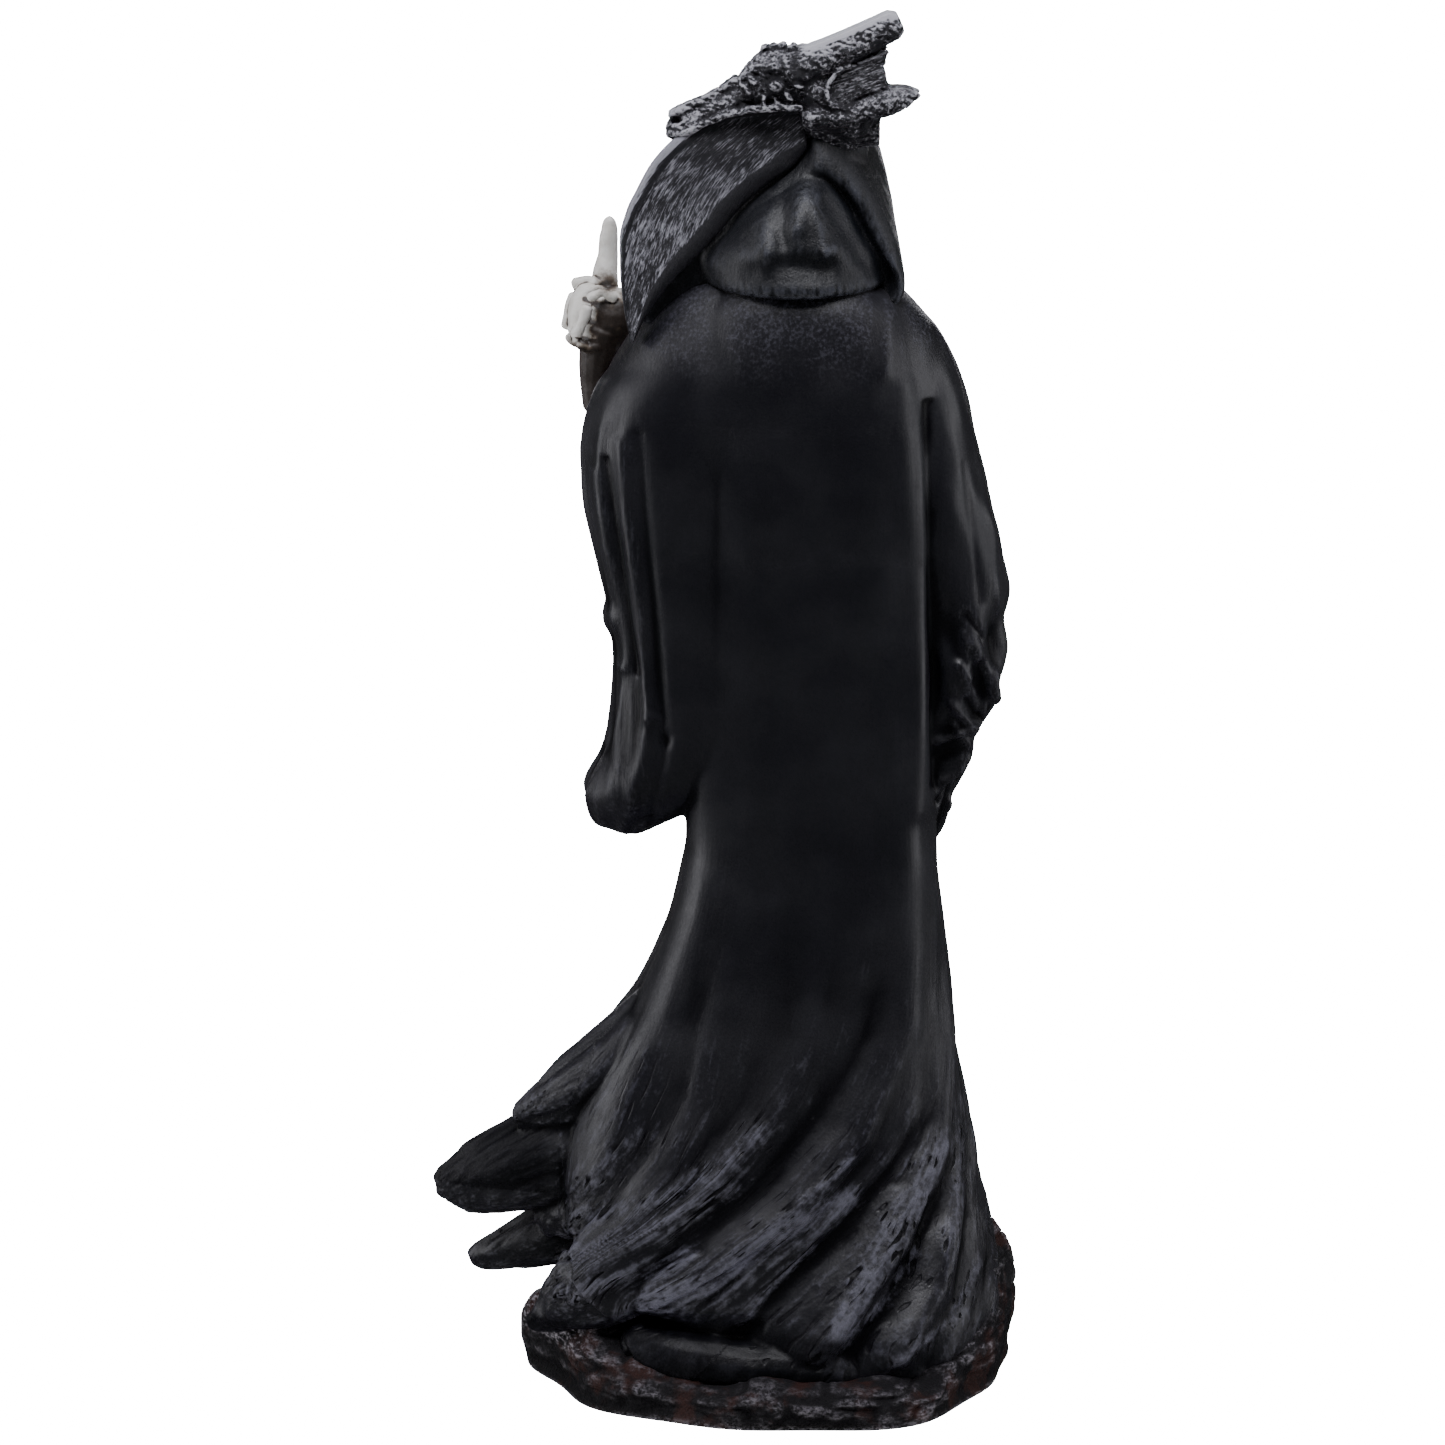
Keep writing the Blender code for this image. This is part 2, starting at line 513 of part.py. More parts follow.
def stroke(x, z, start, end, width):
    """Gaussian band round a segment, in the plane of the photo."""
    start = np.asarray(start, dtype=float)
    run = np.asarray(end, dtype=float) - start
    t = np.clip(((x - start[0]) * run[0] + (z - start[1]) * run[1]) / (run @ run), 0, 1)
    away = (x - start[0] - t * run[0]) ** 2 + (z - start[1] - t * run[1]) ** 2
    return np.exp(-away / width ** 2)


def nape_bag(clay, levels=70, count=120):
    rings = []
    for z in np.linspace(241.5, 267, levels):
        angle, centre, offset = section(z, track(BAG_LEFT, z), track(BAG_RIGHT, z), -2,
                                        track(BAG_BACK, z), count, 2.2)
        points = centre + offset
        push = np.zeros(count)
        for start, end, width, height in BAG_MARKS:
            push += height * stroke(points[:, 0], points[:, 2], start, end, width)
        points[:, 1] += np.where(offset[:, 1] > 4, push, 0)
        rings.append(points)
    clay.loft(rings)


# Skull

def skull(clay):
    """Generic skull, set back in the hood."""
    count = 64
    rings = []
    for tilt in np.linspace(-0.49, 0.49, 48) * math.pi:
        angle = np.arange(count) * TURN / count
        x = np.cos(tilt) * np.cos(angle) * 13.2
        y = np.cos(tilt) * np.sin(angle) * 13.5
        z = np.full(count, math.sin(tilt) * 17.5)
        jaw = 1 - 0.34 * smoothstep(-2, -16, z)
        x = x * jaw
        face = y < 0
        y = np.where(face, y * (1 - 0.10 * smoothstep(4, -12, z)), y)
        push = np.zeros(count)
        for sx in (-5.2, 5.2):
            push += 5.6 * np.exp(-(((x - sx) / 3.3) ** 2 + ((z + 1.0) / 3.0) ** 2))
            push -= 1.6 * np.exp(-(((x - sx * 1.5) / 2.6) ** 2 + ((z + 7.0) / 2.4) ** 2))
        push += 3.4 * np.exp(-((x / 1.9) ** 2 + ((z + 6.6) / 2.7) ** 2))
        push -= 1.3 * np.exp(-((x / 7.0) ** 2 + ((z - 3.4) / 1.7) ** 2))
        push += 1.1 * np.exp(-((x / 6.0) ** 2 + ((z + 11.4) / 0.8) ** 2))
        y = y + np.where(face, push, 0)
        rings.append(np.stack([x - 4.5, y - 11.0, z + 257.0], axis=1))
    clay.loft(rings)
    clay.tube([(-4.5, -6, 234), (-4.5, -7, 240), (-4.5, -7, 248)], (5.0, 4.2, 4.4))


# Scythe: shaft, dragon's head and blade

def shaft(clay):
    radius = SHAFT_RADIUS / UNIT
    path = [(-34, -38, 5), (-31.5, -36, 60), (-28.5, -34.5, 118), (-27, -34.5, 150),
            (-24.5, -33.5, 205),
            (-22.5, -34, 240), (-20, -33, 262), (-17, -25, 280), (-14, -10, 286.5), (-11, 4, 284)]
    sizes = [radius, radius, radius, radius, radius, radius, radius * 1.1, radius * 1.4,
             radius * 2.0, radius * 2.3]
    clay.tube(path, sizes, up=(1, 0, 0), steps=10)


BLADE_OUTER = [(-7.5, 281), (8, 280), (17, 276), (20.4, 273.6), (24.8, 268.7), (27.8, 263.3),
               (29.9, 259),
               (31.4, 252.7), (31.3, 246.3), (30.4, 237.7), (29.2, 232.0)]
BLADE_INNER = [(-8.5, 272), (-6.6, 269.5), (-4.9, 267.8), (-1, 265.2), (4.7, 260.6), (11.1, 253.4),
               (16, 248.4), (20.4, 243.8), (24, 239.4), (26.6, 235), (28.4, 231.2)]


def blade(clay, levels=60):
    keys = np.arange(len(BLADE_OUTER))
    t = np.linspace(0, len(keys) - 1, levels)
    out = np.stack([track(list(zip(keys, [p[i] for p in BLADE_OUTER])), t) for i in (0, 1)], axis=1)
    low = np.stack([track(list(zip(keys, [p[i] for p in BLADE_INNER])), t) for i in (0, 1)], axis=1)
    half = BLADE_THICKNESS / UNIT / 2
    # (share of the way from the inner to the outer edge, half thickness)
    face = [(0.0, 0.55), (0.10, 0.75), (0.5, 0.85), (0.86, 0.85), (0.90, 1.0), (0.97, 1.0), (1.0, 0.75)]
    rings = []
    for i in range(levels):
        middle = 10.2 + 3.6 * (i / levels)
        ring = []
        for share, thick in face + [(s, -h) for s, h in reversed(face)]:
            p = low[i] + (out[i] - low[i]) * share
            ring.append((p[0], middle + half * thick - 1.5 * (share - 0.5), p[1]))
        rings.append(ring)
    clay.loft(rings)


DRAGON_MIDDLE = 8.0
DRAGON_LIFT = 1.1
# Stations of the dragon's head: x, under side, top, half width
DRAGON = [(21.6, 273.0, 276.4, 2.2), (20.4, 272.0, 278.0, 3.4), (18, 272.6, 279.6, 4.2),
          (13, 275.0, 282.6, 4.6),
          (7.5, 276.8, 285.8, 5.4), (4.2, 277.4, 290.2, 6.2), (1, 277.8, 292.4, 7.0),
          (-5, 277.8, 293.2, 7.4),
          (-9, 276.0, 292.0, 7.4), (-14, 272.6, 289.0, 7.2), (-19, 270.4, 284.6, 6.8),
          (-24, 270.4, 279.4, 5.0)]


def dragon(clay):
    first = len(clay.points)
    count = 40
    angle = np.arange(count) * TURN / count
    stations = np.asarray(DRAGON)
    rings = []
    for x in np.linspace(21.6, -24, 60):
        low, high, half = (track(list(zip(stations[:, 0], stations[:, i])), x) for i in (1, 2, 3))
        y = DRAGON_MIDDLE + np.cos(angle) * half
        z = (low + high) / 2 + np.sin(angle) * (high - low) / 2
        rings.append(np.stack([np.full(count, x), y, z], axis=1))
    clay.loft(rings)
    for side in (1, -1):
        y = DRAGON_MIDDLE + side * 4.6
        clay.tube([(-5, y - side * 0.6, 287.0), (-12.3, y, 290.2), (-18.6, y, 293.1), (-26.8, y, 297.0)],
                  (4.4, 3.6, 3.3, 3.1), sides=18, steps=10)
        clay.tube([(-9, y, 277.8), (-17, y, 278.3), (-25, y, 280.7), (-29.5, y, 281.9), (-32.4, y, 282.5)],
                  (3.0, 2.8, 3.0, 2.1, 0.5), sides=18, steps=10)
        clay.ball((-1.2, DRAGON_MIDDLE + side * 6.6, 283.2), (2.6, 1.8, 2.2))
        clay.tube([(9, y + side, 283.6), (3, y + side * 2, 287.6), (-4, y + side * 2, 289.6)],
        (1.6, 2.0, 1.6))
        # web between the two horns
        web = []
        for share in np.linspace(0, 1, 24):
            x = -12.4 - 12.6 * share
            low = 279.8 + 4.4 * share
            high = 287.2 + 5.0 * share
            ring = []
            for s, h in [(0.0, 1), (0.25, 1.4), (0.5, 1), (0.75, 1.4), (1.0, 1)]:
                ring.append((x, y + h * 1.0, low + (high - low) * s))
            for s, h in [(1.0, 1), (0.75, 1.4), (0.5, 1), (0.25, 1.4), (0.0, 1)]:
                ring.append((x, y - h * 1.0, low + (high - low) * s))
            web.append(ring)
        clay.loft(web)
    clay.tube([(-10, 8, 279), (-15, 6, 274), (-16, 2, 268)], (6.6, 7.0, 6.0))
    clay.points[first:] = [(x, y, z + DRAGON_LIFT) for x, y, z in clay.points[first:]]


# Hands

def bone(clay, path, thick):
    """One finger bone: waisted, with a knob at each end."""
    path = np.asarray(path, dtype=float)
    start, end = path[0], path[-1]
    middle = path[1] if len(path) > 2 else (start + end) / 2
    near = start + (middle - start) * 0.45
    far = end + (middle - end) * 0.45
    sizes = thick * np.array([0.95, 1.0, 0.78, 0.92, 1.0])
    clay.tube([start, near, middle, far, end], sizes, steps=8)


def left_hand(clay):
    """Raised hand with the first finger up and the others curled outwards."""
    clay.tube([(36.8, -20.5, 212), (36.8, -20, 218), (36.2, -18.6, 224), (35.0, -17.6, 230)],
              (3.4, 4.0, 4.7, 5.0), flat=1.1, up=(0, 1, 0))
    clay.ball((33.2, -18.6, 232.0), (6.0, 6.6, 6.8))
    clay.ball((38.8, -20.0, 231.8), (4.6, 4.8, 7.6))
    clay.tube([(35.4, -23, 234), (35.2, -24.4, 240.5), (34.6, -25.4, 245), (34.4, -25.7, 249),
               (34.2, -25.6, 251), (34.2, -25.4, 252.6), (34.2, -25.3, 253.4)],
              (3.4, 2.9, 2.3, 2.1, 1.8, 1.3, 0.5), sides=18, steps=8)
    # two curled fingers in front of the palm, as the photo sees them, and one beyond
    for y, lift, out in ((-17.8, 2.4, 1.0), (-13.0, 2.2, 0.0)):
        bone(clay, [(33.0, y - 0.4, 234.8 + lift), (35.6 + out, y, 236.0 + lift),
                    (38.2 + out, y, 234.8 + lift)], 1.15)
        bone(clay, [(38.9 + out, y, 232.6 + lift), (39.9 + out, y, 229.6 + lift),
                    (41.2 + out, y - 0.3, 226.8 + lift)], 1.4)
        bone(clay, [(40.6 + out, y - 0.5, 224.7 + lift), (38.8 + out, y - 0.6, 223.6 + lift),
                    (36.4 + out, y - 0.7, 224.0 + lift)], 1.25)
    bone(clay, [(36.6, -22, 238.6), (39.2, -22, 239.6), (41.6, -22, 238.8)], 1.6)
    bone(clay, [(42.1, -22, 236.4), (43.2, -22, 233.0), (43.6, -22.3, 229.6)], 1.35)
    bone(clay, [(43.2, -22, 227.4), (41.5, -22, 225.8), (39.4, -22, 225.4)], 1.2)
    bone(clay, [(35, -24.5, 226), (36.4, -26.6, 229), (37.4, -27.4, 232)], 1.7)
    bone(clay, [(37.6, -27.2, 233.6), (37.4, -26.8, 236), (36.6, -26.2, 238)], 1.4)


def right_hand(clay):
    """Bony hand closed round the shaft."""
    clay.tube([(-32, -31, 150), (-31, -33, 152), (-30, -34, 152)], (5.6, 5.4, 5.0),
    flat=1.2, up=(0, 0, 1))
    for z in (145.4, 149.6, 153.8, 158.0):
        clay.tube([(-31.8, -34, z), (-30.8, -39.2, z), (-26.6, -40.8, z), (-22.8, -38.2, z),
        (-22.6, -34.2, z)],
                  (2.2, 2.2, 2.1, 2.0, 1.7), up=(0, 0, 1))
    clay.tube([(-31, -33, 158), (-28, -35, 163.5), (-25.5, -37.4, 165.5)], (2.4, 2.1, 1.7))


# Rock

def rock_reach(angle):
    """Half sizes of the rock, with its lobes."""

    lobes = 1 + 0.035 * np.cos(3 * angle + 0.5) + 0.03 * np.cos(5 * angle + 1.9) + 0.018 * np.cos(9 * angle)
    return lobes


def rock(clay, count=160):
    """Low rock. Its near side at the back is lower than its flanks."""
    angle = np.arange(count) * TURN / count
    c = np.cos(angle)
    s = np.sin(angle)
    lobes = rock_reach(angle)
    x = c * BASE_WIDTH / 2 * lobes - 0.0022
    y = s * BASE_DEPTH / 2 * lobes + 0.002
    near = smoothstep(np.where(c > 0, 0.5, 0.2), np.where(c > 0, 0.95, 0.9), s)
    top = BASE_HEIGHT * (1 - near) + BASE_NEAR_HEIGHT * near
    knob = 0.010 * np.exp(-((angle - math.pi + 0.05) / 0.30) ** 2)
    knob += 0.011 * np.exp(-((angle - math.pi - 0.28) / 0.16) ** 2)
    facets = 0.0006 * wave(angle, (13, 0.3, 1.0), (21, 1.2, 0.6))
    rings = []
    for level, share in [(-0.10, 0.97), (0.12, 0.985), (0.35, 1.0), (0.62, 1.0), (0.82, 0.975),
                         (0.95, 0.93), (1.0, 0.86), (1.02, 0.70), (1.04, 0.40)]:
        z = (top + facets + knob) * level
        bulge = share + 0.006 * np.sin(angle * 11 + level * 5) * (0.2 < level < 0.98)
        rings.append(np.stack([x * bulge, y * bulge, z], axis=1))
    clay.loft(rings)


def build_clay():
    figure = Clay()
    for shape in (robe, yoke, mantle, tongues, left_sleeve, right_sleeve, hood, nape_bag, skull, shaft,
                  blade, dragon, left_hand, right_hand):
        shape(figure)
    stone = Clay()
    rock(stone)
    points = np.concatenate([world(figure.points), np.asarray(stone.points)])
    shift = len(figure.points)
    faces = figure.faces + [tuple(i + shift for i in face) for face in stone.faces]
    return points, faces


# Scene

def clear_scene():
    for item in list(bpy.data.objects):
        bpy.data.objects.remove(item, do_unlink=True)


def collection(name):
    group = bpy.data.collections.new(name)
    bpy.context.scene.collection.children.link(group)
    return group


def resin_material():
    material = bpy.data.materials.new("painted_resin")
    material.use_nodes = True
    shader = material.node_tree.nodes["Principled BSDF"]
    shader.inputs["Base Color"].default_value = (0.012, 0.012, 0.016, 1)
    shader.inputs["Roughness"].default_value = 0.42
    shader.inputs["Metallic"].default_value = 0.0
    return material


def fused_mesh(name):
    """One skin round all the lumps, smoothed lightly at the shoulders."""
    points, faces = build_clay()
    raw = bpy.data.meshes.new(name + "_lumps")
    raw.from_pydata([tuple(p) for p in points], [], faces)
    holder = bpy.data.objects.new(name + "_lumps", raw)
    bpy.context.scene.collection.objects.link(holder)
    skin = holder.modifiers.new("skin", "REMESH")
    skin.mode = "VOXEL"
    skin.voxel_size = VOXEL
    graph = bpy.context.evaluated_depsgraph_get()
    mesh = bpy.data.meshes.new_from_object(holder.evaluated_get(graph))
    mesh.name = name
    bpy.data.objects.remove(holder, do_unlink=True)
    bpy.data.meshes.remove(raw)
    soften(mesh)
    return mesh


def soften(mesh):
    """Relax the skin, most where the yoke meets the sleeves."""
    count = len(mesh.vertices)
    co = np.empty(count * 3)
    mesh.vertices.foreach_get("co", co)
    co = co.reshape(-1, 3)
    edges = np.empty(len(mesh.edges) * 2, dtype=np.int64)
    mesh.edges.foreach_get("vertices", edges)
    edges = edges.reshape(-1, 2)
    degree = np.bincount(edges.ravel(), minlength=count)[:, None]
    z = (co[:, 2] - FIGURE_FOOT) / UNIT + FOOT_LEVEL
    x = co[:, 0] / UNIT
    y = co[:, 1] / UNIT
    cloth = smoothstep(146, 186, z) * (1 - smoothstep(226, 234, z)) * smoothstep(-14, -6, y)
    cloth *= 1 - smoothstep(26, 34, x) * smoothstep(216, 224, z)
    weight = np.clip(0.25 + 0.75 * cloth, 0, 1)[:, None] * 0.6
    for turn in range(14):
        total = np.zeros_like(co)
        np.add.at(total, edges[:, 0], co[edges[:, 1]])
        np.add.at(total, edges[:, 1], co[edges[:, 0]])
        strength = weight if turn < 1 else weight * cloth[:, None]
        co = co + (total / degree - co) * strength
    mesh.vertices.foreach_set("co", co.ravel())
    mesh.update()


def detail_group(item):
    """Weights that keep more triangles where the carving is small."""
    group = item.vertex_groups.new(name="plain")
    plain = []
    fine = []
    for vertex in item.data.vertices:
        x, y, z = vertex.co / UNIT
        small = z > 268 or (x > 31 and z > 216) or (y < -30 and z > 140) or (y < -12 and z > 236)
        (fine if small else plain).append(vertex.index)
    group.add(plain, 1.0, "REPLACE")
    group.add(fine, 0.5, "REPLACE")
    return group


def main():
    clear_scene()
    parts = collection("grim_reaper_figurine")
    cutters = collection("cutters")
    mesh = fused_mesh("reaper_figurine")
    figure = bpy.data.objects.new("reaper_figurine", mesh)
    parts.objects.link(figure)
    mesh.materials.append(resin_material())

    triangles = sum(len(face.vertices) - 2 for face in mesh.polygons)
    detail_group(figure)
    thin = figure.modifiers.new("fewer_triangles", "DECIMATE")
    thin.decimate_type = "COLLAPSE"
    thin.ratio = TRIANGLES / triangles
    thin.vertex_group = "plain"
    thin.vertex_group_factor = 0.0001

    bpy.ops.mesh.primitive_cube_add(size=1, location=(0, 0, -BASE_HEIGHT / 2))
    ground = bpy.context.active_object
    ground.name = "ground_cutter"
    ground.scale = (BASE_WIDTH * 2, BASE_DEPTH * 2, BASE_HEIGHT)
    for group in list(ground.users_collection):
        group.objects.unlink(ground)
    cutters.objects.link(ground)
    ground.hide_render = True
    ground.display_type = "WIRE"
    flat = figure.modifiers.new("flat_underside", "BOOLEAN")
    flat.operation = "DIFFERENCE"
    flat.solver = "EXACT"
    flat.object = ground


main()
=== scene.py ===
import itertools
import math

import bpy
import numpy as np
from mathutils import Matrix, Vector

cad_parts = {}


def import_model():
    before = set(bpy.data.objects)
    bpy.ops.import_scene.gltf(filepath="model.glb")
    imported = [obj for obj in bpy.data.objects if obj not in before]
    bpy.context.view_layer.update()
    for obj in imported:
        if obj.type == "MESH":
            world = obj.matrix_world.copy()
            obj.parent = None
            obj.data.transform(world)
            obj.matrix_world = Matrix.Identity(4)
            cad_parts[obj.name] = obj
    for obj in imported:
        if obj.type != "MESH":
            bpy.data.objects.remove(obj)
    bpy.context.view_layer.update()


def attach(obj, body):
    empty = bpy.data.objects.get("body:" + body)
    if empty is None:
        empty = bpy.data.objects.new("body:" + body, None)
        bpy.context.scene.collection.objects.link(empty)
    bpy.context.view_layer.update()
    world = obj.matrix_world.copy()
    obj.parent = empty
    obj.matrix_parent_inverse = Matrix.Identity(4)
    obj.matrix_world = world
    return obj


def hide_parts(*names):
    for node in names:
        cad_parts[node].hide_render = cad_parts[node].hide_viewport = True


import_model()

# Sizes repeated from the part's source, in metres
FIGURE_HEIGHT = 0.298
BASE_WIDTH = 0.108
BASE_DEPTH = 0.098
BASE_HEIGHT = 0.018
BASE_NEAR_HEIGHT = 0.0095
ROBE_SINK = 0.016
SHAFT_RADIUS = 0.0026
HOOD_WALL = 0.0034
BLADE_THICKNESS = 0.0036

# The figure is laid out in its own units, 1/298 of its height, from a foot level of 2
UNIT = FIGURE_HEIGHT / 298.0
FOOT_LEVEL = 2.0
FIGURE_FOOT = BASE_HEIGHT - ROBE_SINK
TURN = 2.0 * math.pi

# Skin size of each fused piece, in metres
CLOTH_VOXEL = 0.00052
HOOD_VOXEL = 0.00046
DRAGON_VOXEL = 0.00030
HAND_VOXEL = 0.00026
SKULL_VOXEL = 0.00040
ROCK_VOXEL = 0.00062
MOST_TRIANGLES = 190000


def world(points):
    """Figure units to metres."""
    out = np.array(points, dtype=float) * UNIT
    out[..., 2] += FIGURE_FOOT - FOOT_LEVEL * UNIT
    return out


def track(keys, t):
    """Smooth curve through a few (position, value) keys, with no overshoot."""
    keys = np.array(sorted(keys), dtype=float)
    x = keys[:, 0]
    y = keys[:, 1]
    t = np.clip(np.asarray(t, dtype=float), x[0], x[-1])
    step = np.diff(x)
    slope = np.diff(y) / step
    tangent = np.zeros_like(y)
    tangent[0] = slope[0]
    tangent[-1] = slope[-1]
    for i in range(1, len(x) - 1):
        if slope[i - 1] * slope[i] > 0:
            tangent[i] = 2 * slope[i - 1] * slope[i] / (slope[i - 1] + slope[i])
    k = np.clip(np.searchsorted(x, t, side="right") - 1, 0, len(x) - 2)
    h = step[k]
    s = (t - x[k]) / h
    a = y[k] * (1 + 2 * s) * (1 - s) ** 2 + tangent[k] * h * s * (1 - s) ** 2
    b = y[k + 1] * s ** 2 * (3 - 2 * s) + tangent[k + 1] * h * s ** 2 * (s - 1)
    return a + b


def smoothstep(low, high, t):
    s = np.clip((np.asarray(t, dtype=float) - low) / (high - low), 0, 1)
    return s * s * (3 - 2 * s)


def band(t, rise, full, fade, gone):
    """One between full and fade, with soft ends."""
    return smoothstep(rise, full, t) * (1 - smoothstep(fade, gone, t))


def curve(points, t):
    """Smooth curve through points that are one step of t apart."""
    columns = np.asarray(points, dtype=float).T
    return np.stack([track(list(enumerate(column)), t) for column in columns], axis=1)


def wave(t, *terms):
    """Sum of sines, each term (frequency, phase, amplitude)."""
    return sum(a * np.sin(f * np.asarray(t, dtype=float) + p) for f, p, a in terms)


def pleat(offset, width, steep):
    """Round-topped fold that falls away faster on its negative side."""
    side = np.where(offset < 0, width * steep, width)
    return np.exp(-((offset / side) ** 2))


# A tube's rounded end: how far its last ring stands out and its size, by the tube's radius
CAP_REACH = 0.55
CAP_SHARE = 0.6


class Clay:
    """Closed lumps that are fused into one body later."""

    def __init__(self):
        self.points = []
        self.faces = []

    def add(self, points, faces):
        start = len(self.points)
        self.points.extend(tuple(p) for p in points)
        self.faces.extend(tuple(start + i for i in face) for face in faces)

    def loft(self, rings):
        """Closed loft through rings of equal count, with a fan at each end."""
        rings = np.asarray(rings, dtype=float)
        count, sides = rings.shape[:2]
        points = list(rings.reshape(-1, 3))
        points.append(rings[0].mean(axis=0))
        points.append(rings[-1].mean(axis=0))
        first = count * sides
        faces = []
        for i in range(count - 1):
            for j in range(sides):
                k = (j + 1) % sides
                near, far = i * sides, (i + 1) * sides
                faces.append((near + j, near + k, far + k, far + j))
        for j in range(sides):
            k = (j + 1) % sides
            faces.append((first, k, j))
            faces.append((first + 1, (count - 1) * sides + j, (count - 1) * sides + k))
        self.add(points, faces)

    def tube(self, path, radii, sides=14, flat=1.0, up=(0, 1, 0), steps=6):
        """Round or flattened limb along a path; radii has one value for each point."""
        t = np.linspace(0, len(path) - 1, (len(path) - 1) * steps + 1)
        line = curve(path, t)
        radius = track(list(enumerate(radii)), t)
        tangent = np.gradient(line, axis=0)
        tangent /= np.linalg.norm(tangent, axis=1)[:, None]
        side = np.cross(tangent, np.asarray(up, dtype=float))
        side /= np.linalg.norm(side, axis=1)[:, None] + 1e-9
        other = np.cross(side, tangent)
        angle = np.arange(sides) * TURN / sides
        rings = []
        for i in range(len(line)):
            across = np.outer(np.cos(angle), side[i]) * radius[i]
            along = np.outer(np.sin(angle), other[i]) * radius[i] * flat
            rings.append(line[i] + across + along)
        start = line[0] - tangent[0] * radius[0] * CAP_REACH
        end = line[-1] + tangent[-1] * radius[-1] * CAP_REACH
        rings.insert(0, start + (rings[0] - line[0]) * CAP_SHARE)
        rings.append(end + (rings[-1] - line[-1]) * CAP_SHARE)
        self.loft(rings)

    def ball(self, centre, size, turns=20):
        """Ellipsoid with half sizes."""
        rings = []
        angle = np.arange(turns) * TURN / turns
        for tilt in np.linspace(-0.49, 0.49, turns // 2) * math.pi:
            ring = np.stack([np.cos(tilt) * np.cos(angle), np.cos(tilt) * np.sin(angle),
                             np.full(turns, math.sin(tilt))], axis=1)
            rings.append(np.asarray(centre) + ring * np.asarray(size))
        self.loft(rings)


# Robe

ROBE_LEFT = [(2, 27), (10, 28), (16, 30), (22, 36), (30, 42), (38, 45), (48, 45), (58, 44), (67, 41),
             (76, 36.5), (85, 30), (94, 25.5), (103, 22), (112, 19.8), (121, 18.2), (140, 19),
             (200, 20), (218, 20), (230, 19), (238, 16), (246, 8)]
ROBE_RIGHT = [(2, -47), (16, -50), (24, -49.5), (35, -48.5), (44, -46), (56, -44), (76, -41.8),
              (94, -40), (121, -38), (160, -37.5), (200, -37.5), (218, -36), (230, -34),
              (238, -30), (246, -20)]
ROBE_BACK = [(2, 41), (14, 41), (30, 38), (44, 35), (58, 32), (76, 28.5), (94, 26), (121, 25),
             (150, 26), (180, 28), (208, 29.4), (222, 29), (231, 28), (237, 27), (241, 25.6),
             (244, 23), (246, 18)]
ROBE_FRONT = [(2, -38), (16, -38), (44, -34), (76, -28), (121, -23), (180, -22), (215, -20),
              (230, -15), (239, -6), (246, -1)]
ROBE_SPAN = (2, 246)
ROBE_INSET = 0.8
SLEEVE_INSET = 0.3

# How far a fold has swung round at each level, and the folds: angle at the shoulder, width,
# steepness of the lower side, and height by level
SWING = [(10, 2.62), (14, 2.5), (31, 1.8), (47, 1.36), (72, 0.88), (115, 0.28), (135, 0.06),
         (160, 0.0)]
SWING_PEAK = math.radians(200)
HEM_RECESS = 2.5
FOLDS = [
    (38, 11, 0.8, [(20, 0.6), (60, 1.2), (120, 1.9), (190, 2.0), (224, 0)]),
    (64, 7, 0.7, [(20, 1.6), (60, 0.9), (110, 0.1), (130, 0)]),
    (86, 8, 0.6, [(10, 2.2), (45, 1.6), (80, 0.4), (110, 0)]),
    (104, 7, 0.6, [(10, 2.4), (45, 1.8), (85, 0.5), (110, 0)]),
    (124, 9, 0.6, [(6, 2.6), (40, 2.0), (75, 0.9), (110, 0.2), (130, 0)]),
    (145, 10, 0.7, [(6, 3.2), (40, 2.8), (80, 2.0), (120, 2.0), (200, 2.2), (226, 0)]),
    (173, 12, 0.55, [(4, 4.4), (40, 3.8), (75, 2.4), (110, 1.0), (135, 0)]),
    (203, 13, 0.5, [(4, 5.0), (35, 4.6), (70, 2.6), (100, 0.8), (120, 0)]),
    (231, 12, 0.5, [(4, 4.6), (35, 4.0), (60, 2.2), (90, 0)]),
    (258, 11, 0.6, [(4, 4.0), (60, 2.8), (130, 2.2), (190, 1.4), (220, 0)]),
    (284, 12, 0.7, [(4, 3.4), (60, 2.6), (130, 2.4), (190, 1.6), (220, 0)]),
    (310, 11, 0.8, [(4, 3.2), (60, 2.6), (130, 2.2), (190, 1.4), (220, 0)]),
    (334, 10, 0.8, [(4, 2.6), (60, 2.0), (130, 1.0), (170, 0)]),
]


def fold_angle(angle, z):
    """The angle at the shoulder of the fold that passes through this angle at this level."""
    start = np.linspace(0, TURN, 721)
    share = np.where(start < SWING_PEAK, start / SWING_PEAK, (TURN - start) / (TURN - SWING_PEAK))
    return np.interp(angle, start - track(SWING, z) * share, start)


